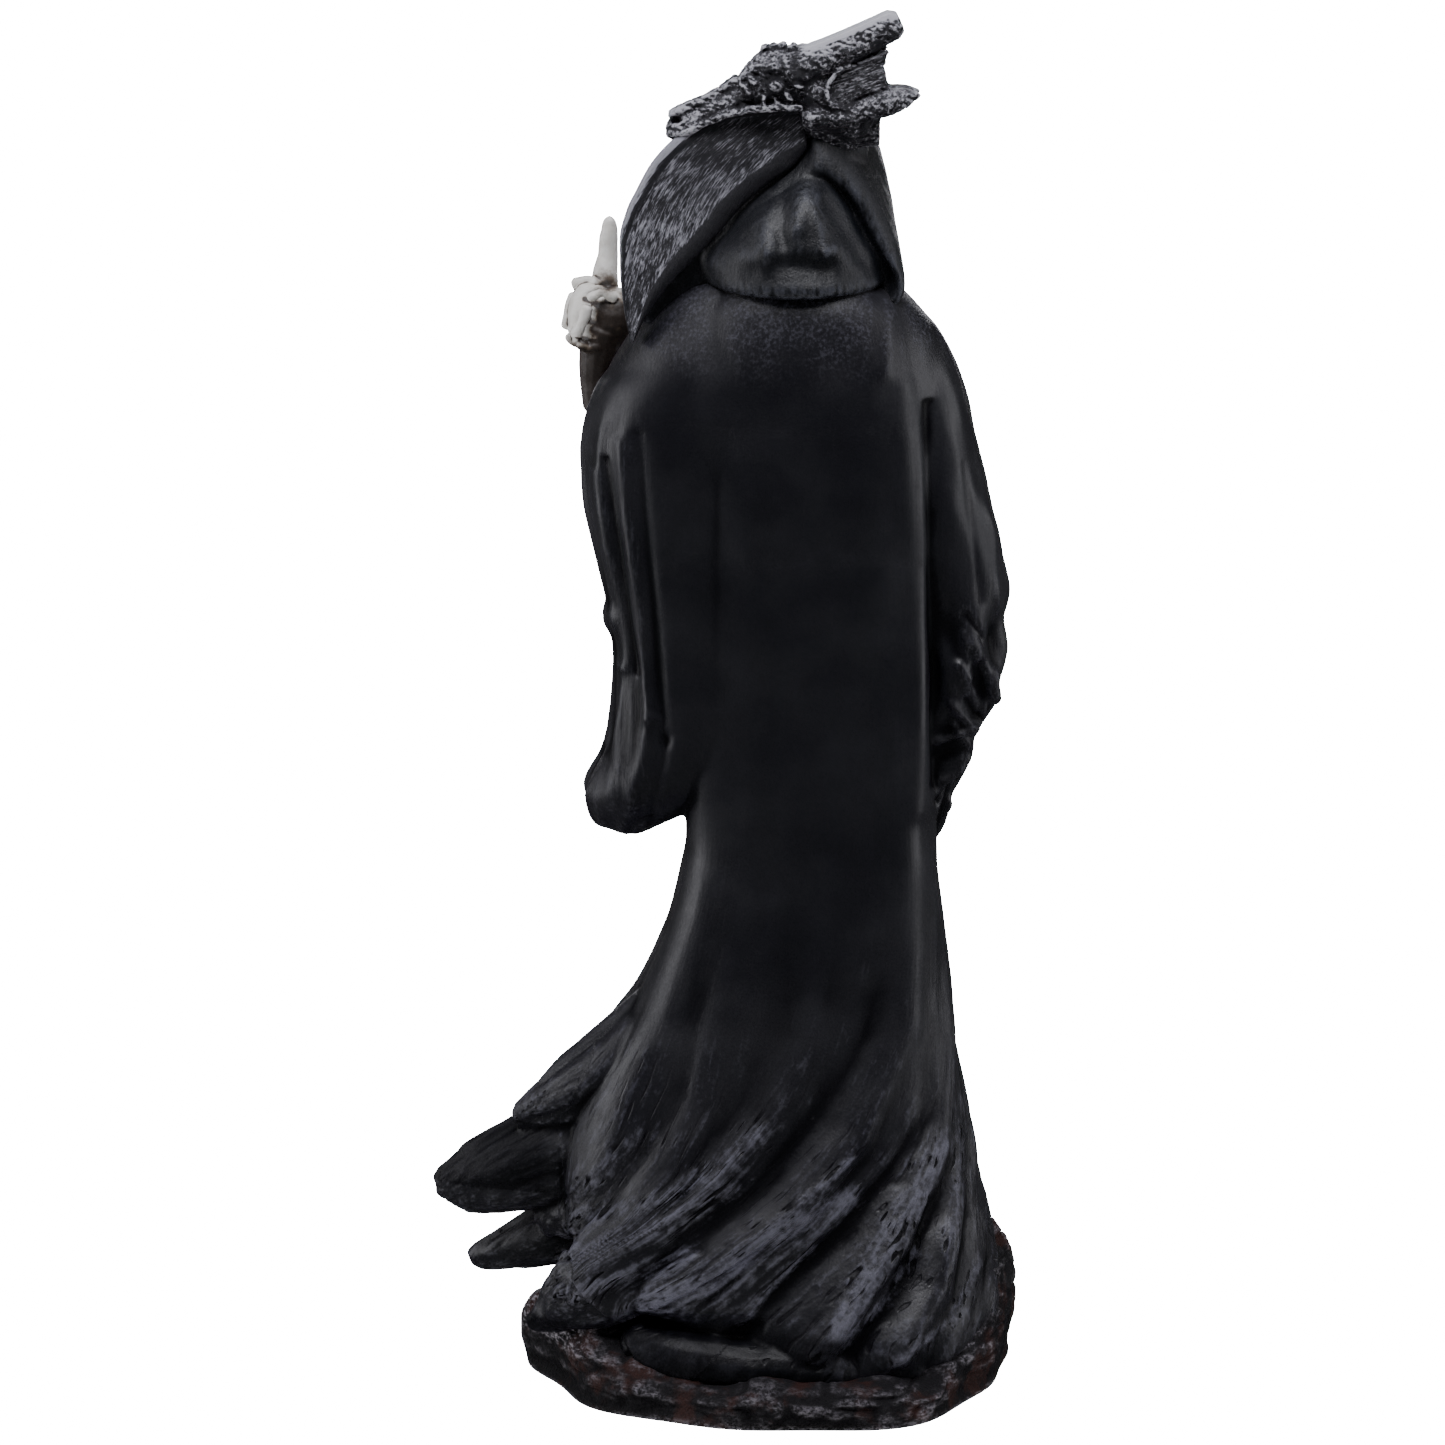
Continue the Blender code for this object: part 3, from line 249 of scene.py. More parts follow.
# Folds of the back of the skirt, in the plane of the photo: points (x, z) from the top down, width,
# steepness of the lower side, and height by share of the way
BACK_FOLDS = [
    ([(14, 190), (15, 150), (16, 111), (24.3, 83), (34.5, 60), (44.6, 43), (50, 31)], 5.0, 0.9,
     [(0, 0), (0.3, 0.7), (0.6, 1.2), (1, 1.4)]),
    ([(10, 120), (13, 95), (22, 66), (33, 47), (46, 31)], 3.4, 1.0, [(0, 0), (0.4, -0.6), (1, -1.2)]),
    ([(8, 100), (12.4, 83), (14.1, 68), (20.8, 53.2), (31, 41.5), (41.2, 33.2), (50.5, 24)], 4.2, 0.8,
     [(0, 0), (0.4, 0.8), (1, 1.5)]),
    ([(-14, 125), (-9.7, 80), (-1, 63.8), (10.7, 51.5), (24.3, 40.6), (38.6, 31.5), (47, 23)], 4.5, 0.7,
     [(0, 0), (0.35, 0.9), (0.7, 1.6), (1, 1.2)]),
    ([(-27.8, 104.5), (-22.4, 82.7), (-11.6, 64.5), (1.4, 48.5), (16.5, 37.2), (33.4, 27.2)], 3.4, 1.0,
     [(0, 0), (0.3, -0.8), (0.7, -1.5), (1, -1.2)]),
    ([(-28, 190), (-29.6, 155), (-32.7, 111), (-30.6, 82.7), (-19.9, 60.2), (-6.2, 45.5), (10.7, 33.2),
      (27.3, 22.5)], 6.0, 0.55, [(0, 0), (0.3, 0.8), (0.55, 1.4), (0.75, 3.6), (1, 3.2)]),
    ([(-36.5, 112), (-37.2, 80), (-35.5, 62), (-28.9, 51.5), (-18.1, 39.8), (-6.2, 29.8), (6.8, 17.6)],
     3.0, 1.0, [(0, -0.3), (0.35, -1.4), (0.7, -3.0), (1, -2.4)]),
    ([(-38.6, 98), (-39.7, 76.4), (-37.2, 55.5), (-29, 38.1), (-20.5, 26.6), (-10.6, 14.4)], 5.2, 0.6,
     [(0, 0.5), (0.3, 1.4), (0.6, 3.2), (1, 3.0)]),
    ([(-42.4, 67.7), (-40.4, 48.5), (-33.7, 33.2), (-26.8, 22.5), (-18.1, 12.6)], 2.8, 1.0,
     [(0, -0.3), (0.5, -2.0), (1, -2.0)]),
    ([(-41.9, 80.6), (-43.4, 57.2), (-41.7, 41.5), (-37.6, 26.6), (-29, 13.9)], 4.0, 0.7,
     [(0, 0.3), (0.5, 2.2), (1, 2.6)]),
    ([(-45, 60), (-45.4, 40), (-42.5, 22), (-36, 10)], 2.4, 1.0, [(0, 0), (0.5, -1.3), (1, -1.0)]),
]


def line_offset(x, z, line):
    """Signed distance from a line of points, and the share of the way along it."""
    line = np.asarray(line, dtype=float)
    runs = np.diff(line, axis=0)
    lengths = np.linalg.norm(runs, axis=1)
    before = np.concatenate([[0], np.cumsum(lengths)])
    nearest = np.full(np.shape(x), np.inf)
    offset = np.zeros(np.shape(x))
    share = np.zeros(np.shape(x))
    for start, run, length, done in zip(line, runs, lengths, before):
        t = np.clip(((x - start[0]) * run[0] + (z - start[1]) * run[1]) / length ** 2, 0, 1)
        dx = x - start[0] - t * run[0]
        dz = z - start[1] - t * run[1]
        away = np.hypot(dx, dz)
        side = np.where(run[0] * (z - start[1]) - run[1] * (x - start[0]) < 0, -1, 1)
        closer = away < nearest
        nearest = np.where(closer, away, nearest)
        offset = np.where(closer, away * side, offset)
        share = np.where(closer, (done + t * length) / before[-1], share)
    return offset, share


def back_relief(x, z):
    total = np.zeros(np.shape(x))
    for line, width, steep, heights in BACK_FOLDS:
        offset, share = line_offset(x, z, line)
        total += track(heights, share) * pleat(offset, width, steep)
    return total


def robe_relief(angle, z, x):
    """How far the cloth stands out from its plain section."""
    phi = np.degrees(fold_angle(angle, z))
    crowding = np.gradient(phi) / np.degrees(angle[1] - angle[0])
    calm = 1 / np.maximum(crowding / 2, 1)
    total = np.zeros_like(angle)
    for centre, width, steep, heights in FOLDS:
        total += track(heights, z) * pleat(phi - centre, width, steep) * calm
    fine = wave(phi, (0.55, 0.0, 0.6), (0.31, 1.3, 0.6)) / np.maximum(crowding, 1)
    low = track([(6, 1.0), (40, 0.8), (75, 0.35), (105, 0.0)], z)
    back = smoothstep(0.05, 0.45, np.sin(angle))
    total = total * (1 - back * (1 - 0.8 * smoothstep(120, 160, z))) + back * back_relief(x, z)
    fine = fine * (1 - back)
    behind = np.sin(angle) > 0
    under = HEM_RECESS * smoothstep(-12, 8, x) * (1 - smoothstep(19, 24, z + 0.10 * np.abs(x - 12)))
    return total + low * fine - np.where(behind, under, 0)


def section(z, left, right, front, back, count, power):
    """Superellipse ring at a level, as angles, centre and unit offsets."""
    angle = np.arange(count) * TURN / count
    c = np.cos(angle)
    s = np.sin(angle)
    x = np.sign(c) * np.abs(c) ** (2 / power)
    y = np.sign(s) * np.abs(s) ** (2 / power)
    centre = np.array([(left + right) / 2, 0, z])
    half = (left - right) / 2
    depth = np.where(y > 0, back, -front)
    return angle, centre, np.stack([x * half, y * depth, np.zeros(count)], axis=1)


def loft_sections(clay, span, levels, count, sides, power, shaped):
    """Loft of level rings; sides are left, right, front and back, each a table or one value."""
    rings = []
    for z in np.linspace(*span, levels):
        reach = [track(side, z) if isinstance(side, list) else side for side in sides]
        rings.append(shaped(z, *section(z, *reach, count, power)))
    clay.loft(rings)


def plain(z, angle, centre, offset):
    return centre + offset


def with_relief(centre, offset, relief):
    """Ring with each point moved out from the middle."""
    direction = offset / np.linalg.norm(offset, axis=1)[:, None]
    return centre + offset + direction * relief[:, None]


def robe(clay):
    def shaped(z, angle, centre, offset):
        relief = robe_relief(angle, z, centre[0] + offset[:, 0])
        return with_relief(centre, offset, relief - ROBE_INSET)

    loft_sections(clay, ROBE_SPAN, 260, 520, (ROBE_LEFT, ROBE_RIGHT, ROBE_FRONT, ROBE_BACK), 2.7,
                  shaped)
    # inner cloth that shows below the hem
    clay.tube([(28, 29, 12.5), (17, 34.5, 11), (2, 36, 10), (-16, 36.5, 9)], (6.0, 6.2, 6.4, 6.0))


YOKE_SPAN = (140, 246)
MANTLE_SPAN = (121.6, 232)


def yoke(clay):
    """Shoulders that carry the cloth from the neck to the sleeves."""
    left = [(140, 17), (165, 21), (190, 26), (206, 32), (214, 35), (222, 34.4), (229, 31), (234, 27.5),
            (239, 23), (243, 17.5), (246, 8)]
    right = [(140, -28), (165, -30), (190, -34), (206, -41), (216, -41.5), (224, -39.4),
             (231, -37), (237, -33), (242, -28), (246, -20)]
    front = [(140, -19), (206, -19), (222, -17), (232, -12), (239, -6), (246, -1)]
    back = [(140, 15), (165, 20), (190, 24), (206, 26.5), (216, 26.6), (224, 26), (231, 24.6),
            (237, 22.5), (242, 19), (246, 12)]
    loft_sections(clay, YOKE_SPAN, 60, 120, (left, right, front, back), 2.3, plain)


def mantle(clay):
    """Cloth of the back that runs on into the left sleeve with no crease."""
    left = [(121.6, 30), (124, 36.5), (127, 38.8), (130.5, 39.6), (135, 37.6), (140, 34.8), (152, 32.8),
            (160, 32.4), (170, 33.4), (180, 35.4), (190, 37.8), (199, 39.0), (207, 39.2), (214, 38.2),
            (221, 35.4), (227, 30.5), (232, 26)]
    back = [(121.6, 8), (124, 12.5), (130, 17), (142, 20.4), (160, 22), (185, 23.4), (208, 24.4),
            (220, 24.0), (227, 22.5), (232, 19)]

    def shaped(z, angle, centre, offset):
        ring = centre + offset
        ring[:, 2] += np.clip(0.27 * (38 - ring[:, 0]), 0, 7) * (1 - smoothstep(121.6, 150, z))
        return ring

    loft_sections(clay, MANTLE_SPAN, 80, 160, (left, -18, -4, back), 2.5, shaped)


# Cloth tongues that blow out to the left

TONGUES = [
    # (path through the middle, half height along it, half thickness along it)
    ([(8, 3, 92), (25, 7, 77), (38, 8, 66.5), (48, 7.5, 61.2), (53.6, 7, 58.6)],
     (9, 9, 8.6, 5.6, 3.2), (11, 11, 9, 5.4, 2.6)),
    ([(14, 2, 66), (36, 3, 53), (54, 2, 46), (66, 0, 41.6), (71.8, -1, 40.4)],
     (13, 13, 10.5, 7.6, 4.6), (14, 12, 8.6, 5.2, 2.8)),
    ([(20, -4, 40), (42, -4, 31), (56, -6, 25), (64.3, -7, 22.4)], (10, 8, 5.2, 3.0),
     (12, 9, 5.6, 2.6)),
    ([(-6, 12, 66), (16, 25, 42), (37, 26, 25.5), (46.5, 22.5, 18.4), (51, 20, 15.6)],
     (17, 14, 10, 5.2, 2.4), (9, 9, 7.5, 5, 2.2)),
]


def tongues(clay):
    for path, height, thick in TONGUES:
        t = np.linspace(0, len(path) - 1, 40)
        line = curve(path, t)
        tall, deep = curve(list(zip(height, thick)), t).T
        run = np.gradient(line, axis=0)
        run /= np.linalg.norm(run, axis=1)[:, None]
        away = np.array([0.0, 1.0, 0.0])
        side = np.cross(run, away)
        side /= np.linalg.norm(side, axis=1)[:, None]
        count = 48
        angle = np.arange(count) * TURN / count
        groove = 1 + 0.05 * np.cos(5 * angle + 0.6) + 0.03 * np.cos(9 * angle)
        rings = []
        for i in range(len(line)):
            up = np.outer(np.cos(angle) * groove, side[i]) * tall[i]
            out = np.outer(np.sin(angle) * groove, away) * deep[i]
            rings.append(line[i] + up + out)
        rings.append(line[-1] + run[-1] * 2.0 + (rings[-1] - line[-1]) * 0.55)
        clay.loft(rings)
    # cloth between their roots
    clay.tube([(22, 6, 62), (36, 8, 58), (45, 6, 55.5)], (9, 7.5, 4.0))
    clay.tube([(24, 6, 44), (38, 6, 38.5), (48, 3, 34.5)], (10, 8, 4.5))


# Sleeves

LEFT_SLEEVE_SPAN = (121.6, 229)
RIGHT_SLEEVE_SPAN = (119, 236)


def left_sleeve(clay):
    """Long sleeve that hangs from the raised left arm."""
    outer = [(121.6, 33), (123.5, 37.5), (127, 39.4), (130.5, 40.2), (135, 38), (139, 35.6),
             (144, 34.6), (152, 33.2), (160, 32.8), (170, 33.9), (180, 36.0), (188, 37.9),
             (197, 39.5), (206, 40), (214, 39), (220, 36.8), (226, 31.5), (229, 27)]
    inner = [(121.6, 26), (123.5, 22), (126, 17), (130, 13), (140, 10.5), (170, 10), (200, 10),
             (229, 8)]
    back = [(121.6, 6), (126, 10), (140, 15.5), (165, 19.5), (195, 22), (212, 22), (222, 18), (229, 12)]
    front = [(121.6, -6), (126, -14), (140, -26), (160, -31), (200, -30), (212, -27), (222, -16),
             (229, -8)]

    def shaped(z, angle, centre, offset):
        lean = track([(121.6, 0.55), (150, 0.1), (175, 0.0)], z)
        relief = wave(angle + lean, (11, 0.4, 0.55), (17, 1.1, 0.35), (7, 2.0, 0.4))
        fade = track([(121.6, 0.6), (135, 1.0), (205, 0.9), (226, 0.1)], z)
        return with_relief(centre, offset, relief * fade - SLEEVE_INSET)

    loft_sections(clay, LEFT_SLEEVE_SPAN, 160, 160, (outer, inner, front, back), 2.0, shaped)
    clay.tube([(29.5, -18, 174), (31.8, -4, 168.6), (30.6, 10, 171)], (4.6, 4.4, 3.4))
    clay.tube([(28, -8, 208), (30, -20, 192), (31.5, -24, 204), (33, -23, 216)], (9, 8.5, 7.6, 6.6))


def right_sleeve(clay):
    """Sleeve of the right arm, bent at the elbow, with the forearm going to the front."""
    outer = [(119, -36.5), (123, -38.6), (130.5, -41.4), (139, -45.2), (148, -48.4), (153, -50.8),
             (157, -51.3), (166, -51.6), (175, -52.8), (180, -52.3), (188, -50.9), (197, -48.4),
             (210, -45.4), (219, -43.3), (227.5, -40.2), (232, -37.6), (236, -34)]
    inner = [(119, -30), (125, -26), (140, -24), (200, -20), (236, -18)]
    back = [(119, 2), (124, 6), (140, 10), (160, 14), (180, 17), (205, 19), (222, 16), (236, 8)]
    front = [(119, -8), (124, -14), (140, -24), (160, -27), (180, -24), (205, -20), (236, -10)]

    def shaped(z, angle, centre, offset):
        crumple = track([(119, 0.8), (135, 1.2), (165, 1.1), (182, 0.35), (225, 0.15)], z)
        relief = wave(angle * 6 + z * 0.16, (1, 0, 0.8)) + wave(angle * 9 - z * 0.31, (1, 0.7, 0.6))
        return with_relief(centre, offset, relief * crumple - SLEEVE_INSET)

    loft_sections(clay, RIGHT_SLEEVE_SPAN, 160, 160, (outer, inner, front, back), 2.1, shaped)
    clay.tube([(-39, -6, 170), (-42, -20, 158), (-36.5, -28, 152), (-31.5, -31.5, 151)],
              (8, 10, 8.5, 7.4))


# Hood

# Left leg of the arch at the back, along the blade's inner edge: (level, x)
ARCH_LEG = [(234.5, 28.4), (239.4, 25.6), (243.8, 21.6), (248.4, 16.6), (253.4, 11.0), (260.6, 3.2),
            (265.2, -3.0), (269.5, -8.0), (272.5, -9.6), (275.2, -9.9)]
# Top of the arch: where its rounding starts and how high it may come
ARCH_ROUND = 257.0
ARCH_TOP = 267.4


def hood_outline(back, count):
    """Hood's section: a wide arch (0), pointed at the back (1) and peaked at the front rim (-1)."""
    angle = np.arange(count) * TURN / count
    c = np.cos(angle)
    s = np.sin(angle)

    def arch(centre, up, down, left, right, taper, shift, power_up, power_down):
        power = np.where(s > 0, power_up, power_down)
        lift = np.sign(s) * np.abs(s) ** (2 / power)
        z = lift * np.where(s > 0, up, down)
        half = np.where(c > 0, left, right) - taper * z
        x = np.sign(c) * np.abs(c) ** (2 / power) * half
        x = x + centre[0] - shift * np.clip(lift, 0, 1) ** 2
        return np.stack([x, np.zeros(count), z + centre[1]], axis=1)

    wide = arch((-4.4, 256), 27.5, 19, 21.5, 23.2, 0.17, 1.0, 3.2, 5.0)
    pointed = arch((-4.4, 243.5), 31.5, 9, 25.0, 25.0, 0.0, 5.4, 1.42, 2.6)
    leg = track(ARCH_LEG, pointed[:, 2])
    pointed[:, 0] = np.where(c > 0, leg, pointed[:, 0])
    peaked = arch((-4.4, 254), 30.5, 19, 19.5, 20.5, 0.10, 0.5, 1.7, 2.8)
    if back < 0:
        return wide * (1 + back) - peaked * back
    return wide * (1 - back) + pointed * back


def rounded_arch(ring, share):
    """Lowers and rounds the top of the arch, and moves its right leg inward."""
    over = np.maximum(ring[:, 2] - ARCH_ROUND, 0)
    room = ARCH_TOP - ARCH_ROUND
    leg = smoothstep(243, 255, ring[:, 2]) * smoothstep(-11, -17, ring[:, 0])
    ring[:, 2] -= share * (over - room * np.tanh(over / room))
    ring[:, 0] += share * 2.4 * leg
    return ring


def hood(clay):
    """Shell with an open front. Rings run from the back round the rim and into the hollow."""
    count = 240
    wall = HOOD_WALL / UNIT
    # (depth, how far the section has turned into the back one, scale, rounding)
    outer = [(10.4, 1, 0.4, 0), (10.6, 1, 0.82, 1), (11.2, 1, 0.87, 1), (12.8, 1, 0.905, 1),
             (14.4, 1, 0.94, 0.92), (14.2, 1, 0.97, 0.6), (13.0, 1, 0.995, 0.25),
             (11, 0.96, 1.01, 0), (4, 0.66, 1.01, 0), (-4, 0.22, 1.0, 0), (-12, 0, 1.0, 0),
             (-20, -0.3, 1.0, 0), (-27, -0.85, 1.01, 0), (-30, -1, 1.02, 0), (-31.6, -1, 0.98, 0)]
    inner = [(-31, -1, 0.99), (-27, -0.85, 0.99), (-20, -0.3, 0.98), (-12, 0, 0.97),
             (-4, 0.22, 0.92), (0, 0.45, 0.8), (3.0, 0.66, 0.58), (4.0, 0.8, 0.3)]
    rings = []
    for y, back, scale, share in outer:
        line = hood_outline(back, count)
        middle = line.mean(axis=0)
        ring = rounded_arch(middle + (line - middle) * scale + np.array([0, y, 0]), share)
        low_left = smoothstep(0, 8, ring[:, 0]) * (1 - smoothstep(252, 262, ring[:, 2]))
        ring[:, 1] -= low_left * max(y - 10.5, 0)
        rings.append(ring)
    for y, back, scale in inner:
        line = hood_outline(back, count)
        middle = line.mean(axis=0)
        offset = line - middle
        length = np.linalg.norm(offset, axis=1)[:, None]
        offset = offset * scale * np.maximum(length - wall, 1) / length
        rings.append(middle + offset + np.array([0, y, 0]))
    clay.loft(rings)
    # cloth behind the lower end of the blade
    clay.tube([(24.4, 3, 229), (23.4, 4.6, 236), (20.8, 5.6, 242), (16.4, 6.0, 249)],
              (3.6, 4.2, 3.8, 2.8))


BAG_LEFT = [(241.5, 11), (243.5, 14), (248, 15.0), (254, 10), (260, 4), (264, -1.4), (267, -6.6)]
BAG_RIGHT = [(241.5, -23.6), (243.5, -26.2), (248, -25.2), (254, -21.6), (260, -18.2),
             (264, -15.4), (267, -13.0)]
BAG_BACK = [(241.5, 24.6), (242.6, 27.6), (243.8, 27.6), (246, 26.9), (250, 27.2), (255, 25.6),
            (259, 23.6), (262.6, 20.2), (265.2, 15.8), (267, 11.4)]
BAG_SPAN = (241.5, 267)
# Ridges and hollows of the bag: two ends (x, z), width and height
BAG_MARKS = [
    ((2.6, 260.5), (0.0, 251.5), 2.3, 1.3),
    ((-3.6, 264), (-3.4, 253), 1.5, -1.3),
    ((-8.4, 267.8), (-6.2, 257), 1.9, 1.5),
    ((-9.9, 262), (-12.2, 252.5), 1.9, 1.6),
    ((-12.5, 261.4), (-19.8, 249.6), 1.3, -1.6),
    ((-19.8, 249.6), (-23.5, 245.5), 1.3, -1.2),
    ((-14.2, 266.7), (-25.5, 248.8), 1.7, 1.7),
    ((-2.4, 249.4), (-12.4, 248.8), 2.3, -1.6),
    ((-10.6, 250.6), (-14.4, 252.4), 1.2, 0.9),
    ((11.0, 250.0), (3.0, 247.6), 2.0, -1.0),
]


def stroke(x, z, start, end, width):
    """Gaussian band round a segment, in the plane of the photo."""
    start = np.asarray(start, dtype=float)
    run = np.asarray(end, dtype=float) - start
    t = np.clip(((x - start[0]) * run[0] + (z - start[1]) * run[1]) / (run @ run), 0, 1)
    away = (x - start[0] - t * run[0]) ** 2 + (z - start[1] - t * run[1]) ** 2
    return np.exp(-away / width ** 2)


def marks_push(marks, x, z):
    """Ridges and hollows along segments, in the plane of the photo."""
    return sum(height * stroke(x, z, start, end, width) for start, end, width, height in marks)


def nape_bag(clay):
    def shaped(z, angle, centre, offset):
        points = centre + offset
        push = marks_push(BAG_MARKS, points[:, 0], points[:, 2])
        points[:, 1] += np.where(offset[:, 1] > 4, push, 0)
        return points

    loft_sections(clay, BAG_SPAN, 140, 240, (BAG_LEFT, BAG_RIGHT, -2, BAG_BACK), 2.2, shaped)


# Skull

SKULL_MIDDLE = np.array([-4.5, -11.0, 257.0])
SKULL_HALF = (13.2, 13.5, 17.5)


def skull(clay):
    """Generic skull, set back in the hood."""
    count = 64
    rings = []
    for tilt in np.linspace(-0.49, 0.49, 48) * math.pi:
        angle = np.arange(count) * TURN / count
        x = np.cos(tilt) * np.cos(angle) * SKULL_HALF[0]
        y = np.cos(tilt) * np.sin(angle) * SKULL_HALF[1]
        z = np.full(count, math.sin(tilt) * SKULL_HALF[2])
        jaw = 1 - 0.34 * smoothstep(-2, -16, z)
        x = x * jaw
        face = y < 0
        y = np.where(face, y * (1 - 0.10 * smoothstep(4, -12, z)), y)
        push = np.zeros(count)
        for sx in (-5.2, 5.2):
            push += 5.6 * np.exp(-(((x - sx) / 3.3) ** 2 + ((z + 1.0) / 3.0) ** 2))
            push -= 1.6 * np.exp(-(((x - sx * 1.5) / 2.6) ** 2 + ((z + 7.0) / 2.4) ** 2))
        push += 3.4 * np.exp(-((x / 1.9) ** 2 + ((z + 6.6) / 2.7) ** 2))
        push -= 1.3 * np.exp(-((x / 7.0) ** 2 + ((z - 3.4) / 1.7) ** 2))
        push += 1.1 * np.exp(-((x / 6.0) ** 2 + ((z + 11.4) / 0.8) ** 2))
        y = y + np.where(face, push, 0)
        rings.append(np.stack([x, y, z], axis=1) + SKULL_MIDDLE)
    clay.loft(rings)
    clay.tube([(-4.5, -6, 234), (-4.5, -7, 240), (-4.5, -7, 248)], (5.0, 4.2, 4.4))


# Scythe: shaft, dragon's head and blade

def shaft(clay):
    radius = SHAFT_RADIUS / UNIT
    path = [(-34, -38, 5), (-31.5, -36, 60), (-28.5, -34.5, 118), (-27, -34.5, 150),
            (-24.5, -33.5, 205), (-22.5, -34, 240), (-20, -33, 262), (-17, -25, 280),
            (-14, -10, 286.5), (-11, 4, 284)]
    sizes = [radius] * 6 + [radius * share for share in (1.1, 1.4, 2.0, 2.3)]
    clay.tube(path, sizes, up=(1, 0, 0), steps=10)


BLADE_OUTER = [(-7.5, 281), (8, 280), (17, 276), (20.4, 273.6), (24.8, 268.7), (27.8, 263.3),
               (29.9, 259), (31.4, 252.7), (31.3, 246.3), (30.4, 237.7), (29.2, 232.0)]
BLADE_INNER = [(-8.5, 272), (-6.6, 269.5), (-4.9, 267.8), (-1, 265.2), (4.7, 260.6), (11.1, 253.4),
               (16, 248.4), (20.4, 243.8), (24, 239.4), (26.6, 235), (28.4, 231.2)]
BLADE_FACES = 30
BLADE_LEVELS = 220
BLADE_DEPTH = 10.2
# Half thickness of the blade by share of the way from the inner to the outer edge
BLADE_SECTION = [(0, 0.35), (0.08, 0.7), (0.15, 0.82), (0.2, 0.8), (0.86, 0.85), (0.9, 1.0),
                 (0.97, 1.0), (1, 0.6)]


def blade(clay):
    """Returns the share across the blade and the way along it for each point."""
    t = np.linspace(0, len(BLADE_OUTER) - 1, BLADE_LEVELS)
    out = curve(BLADE_OUTER, t)
    low = curve(BLADE_INNER, t)
    half = BLADE_THICKNESS / UNIT / 2
    shares = np.linspace(0, 1, BLADE_FACES)
    thick = track(BLADE_SECTION, shares) * half
    shares = np.concatenate([shares, shares[::-1]])
    thick = np.concatenate([thick, -thick[::-1]])
    along = np.concatenate([[0], np.cumsum(np.linalg.norm(np.diff(out + low, axis=0), axis=1) / 2)])
    rings = []
    across = []
    lengthwise = []
    for i in range(BLADE_LEVELS):
        p = low[i] + np.outer(shares, out[i] - low[i])
        wide = np.linalg.norm(out[i] - low[i])
        way = np.full(len(shares), along[i] * 0.16)
        cuts = np.stack([shares * wide, np.sign(thick) * 5, way], axis=1)
        strokes = noise(cuts, 1.1, 71) * 0.16 + noise(cuts, 0.6, 73) * 0.10
        strokes *= band(shares, 0.12, 0.22, 0.86, 0.92) * (thick > 0)
        y = BLADE_DEPTH + 3.6 * (i / BLADE_LEVELS) + thick - 1.5 * (shares - 0.5) + strokes
        rings.append(np.stack([p[:, 0], y, p[:, 1]], axis=1))
        across.append(shares)
        lengthwise.append(np.full(len(shares), along[i]))
    clay.loft(rings)
    # the loft adds a point in the middle of each end
    across.append([0.5, 0.5])
    lengthwise.append([0, along[-1]])
    return np.concatenate(across), np.concatenate(lengthwise)


DRAGON_MIDDLE = 8.0
DRAGON_LIFT = 1.1
# Stations of the dragon's head: x, under side, top, half width
DRAGON = [(21.6, 273.4, 276.0, 2.0), (20.4, 272.4, 277.6, 3.2), (18, 272.8, 279.0, 4.0),
          (13, 275.4, 281.8, 4.4), (7.5, 277.0, 284.8, 5.0), (4.2, 277.6, 289.0, 5.8),
          (1, 277.8, 291.6, 6.6), (-5, 277.8, 292.6, 7.0), (-9, 276.0, 292.0, 7.2),
          (-14, 273.0, 289.0, 7.0), (-19, 271.0, 284.6, 6.6), (-24, 271.0, 279.4, 4.8)]
EYE = (-1.9, 284.5)
# Scales round the eye: root (x, z), tip (x, z) and half width
EYE_SCALES = [
    ((0.4, 286.0), (2.4, 290.4), 0.9), ((-1.9, 287.0), (-1.2, 291.2), 0.95),
    ((-4.2, 287.2), (-4.6, 291.2), 0.95), ((-6.0, 286.6), (-9.0, 289.6), 0.9),
    ((2.7, 284.6), (4.6, 287.6), 0.8), ((3.6, 282.8), (6.0, 284.9), 0.7),
    ((0.6, 282.6), (0.9, 280.4), 0.6), ((-1.5, 282.4), (-2.6, 280.4), 0.6),
    ((-3.6, 283.2), (-5.6, 281.6), 0.6), ((-5.0, 284.8), (-7.9, 284.4), 0.6),
    ((-7.0, 285.8), (-9.6, 286.6), 0.6),
]
NOSTRIL = (19.4, 277.0)
WEB_HALF = 0.45


def head_station(x):
    """Under side, top and half width of the dragon's head."""
    place, *values = np.asarray(DRAGON).T
    return (track(list(zip(place, value)), x) for value in values)


def head_side(x, z, side):
    """Point on the side of the dragon's head, and its outward direction."""
    low, high, half = head_station(x)
    lift = np.clip((z - (low + high) / 2) / ((high - low) / 2), -0.96, 0.96)
    out = math.sqrt(1 - lift ** 2)
    normal = np.array([0.0, side * out, lift * 0.8])
    return np.array([x, DRAGON_MIDDLE + side * half * out, z]), normal / np.linalg.norm(normal)


def leaf(clay, root, tip, normal, width, thick):
    """Pointed scale from root to tip, with a raised middle."""
    run = tip - root
    side = np.cross(run, normal)
    side /= np.linalg.norm(side)
    rings = []
    for share, half in ((0.0, 0.6), (0.25, 0.95), (0.5, 1.0), (0.75, 0.65), (0.97, 0.15)):
        centre = root + run * share + normal * thick * (0.2 + 0.8 * math.sin(math.pi * share))
        ring = []
        for w, h in ((-1, 0), (-0.55, 0.7), (0, 1), (0.55, 0.7), (1, 0), (0, -1.6)):
            ring.append(centre + side * w * width * half + normal * h * thick)
        rings.append(ring)
    clay.loft(rings)


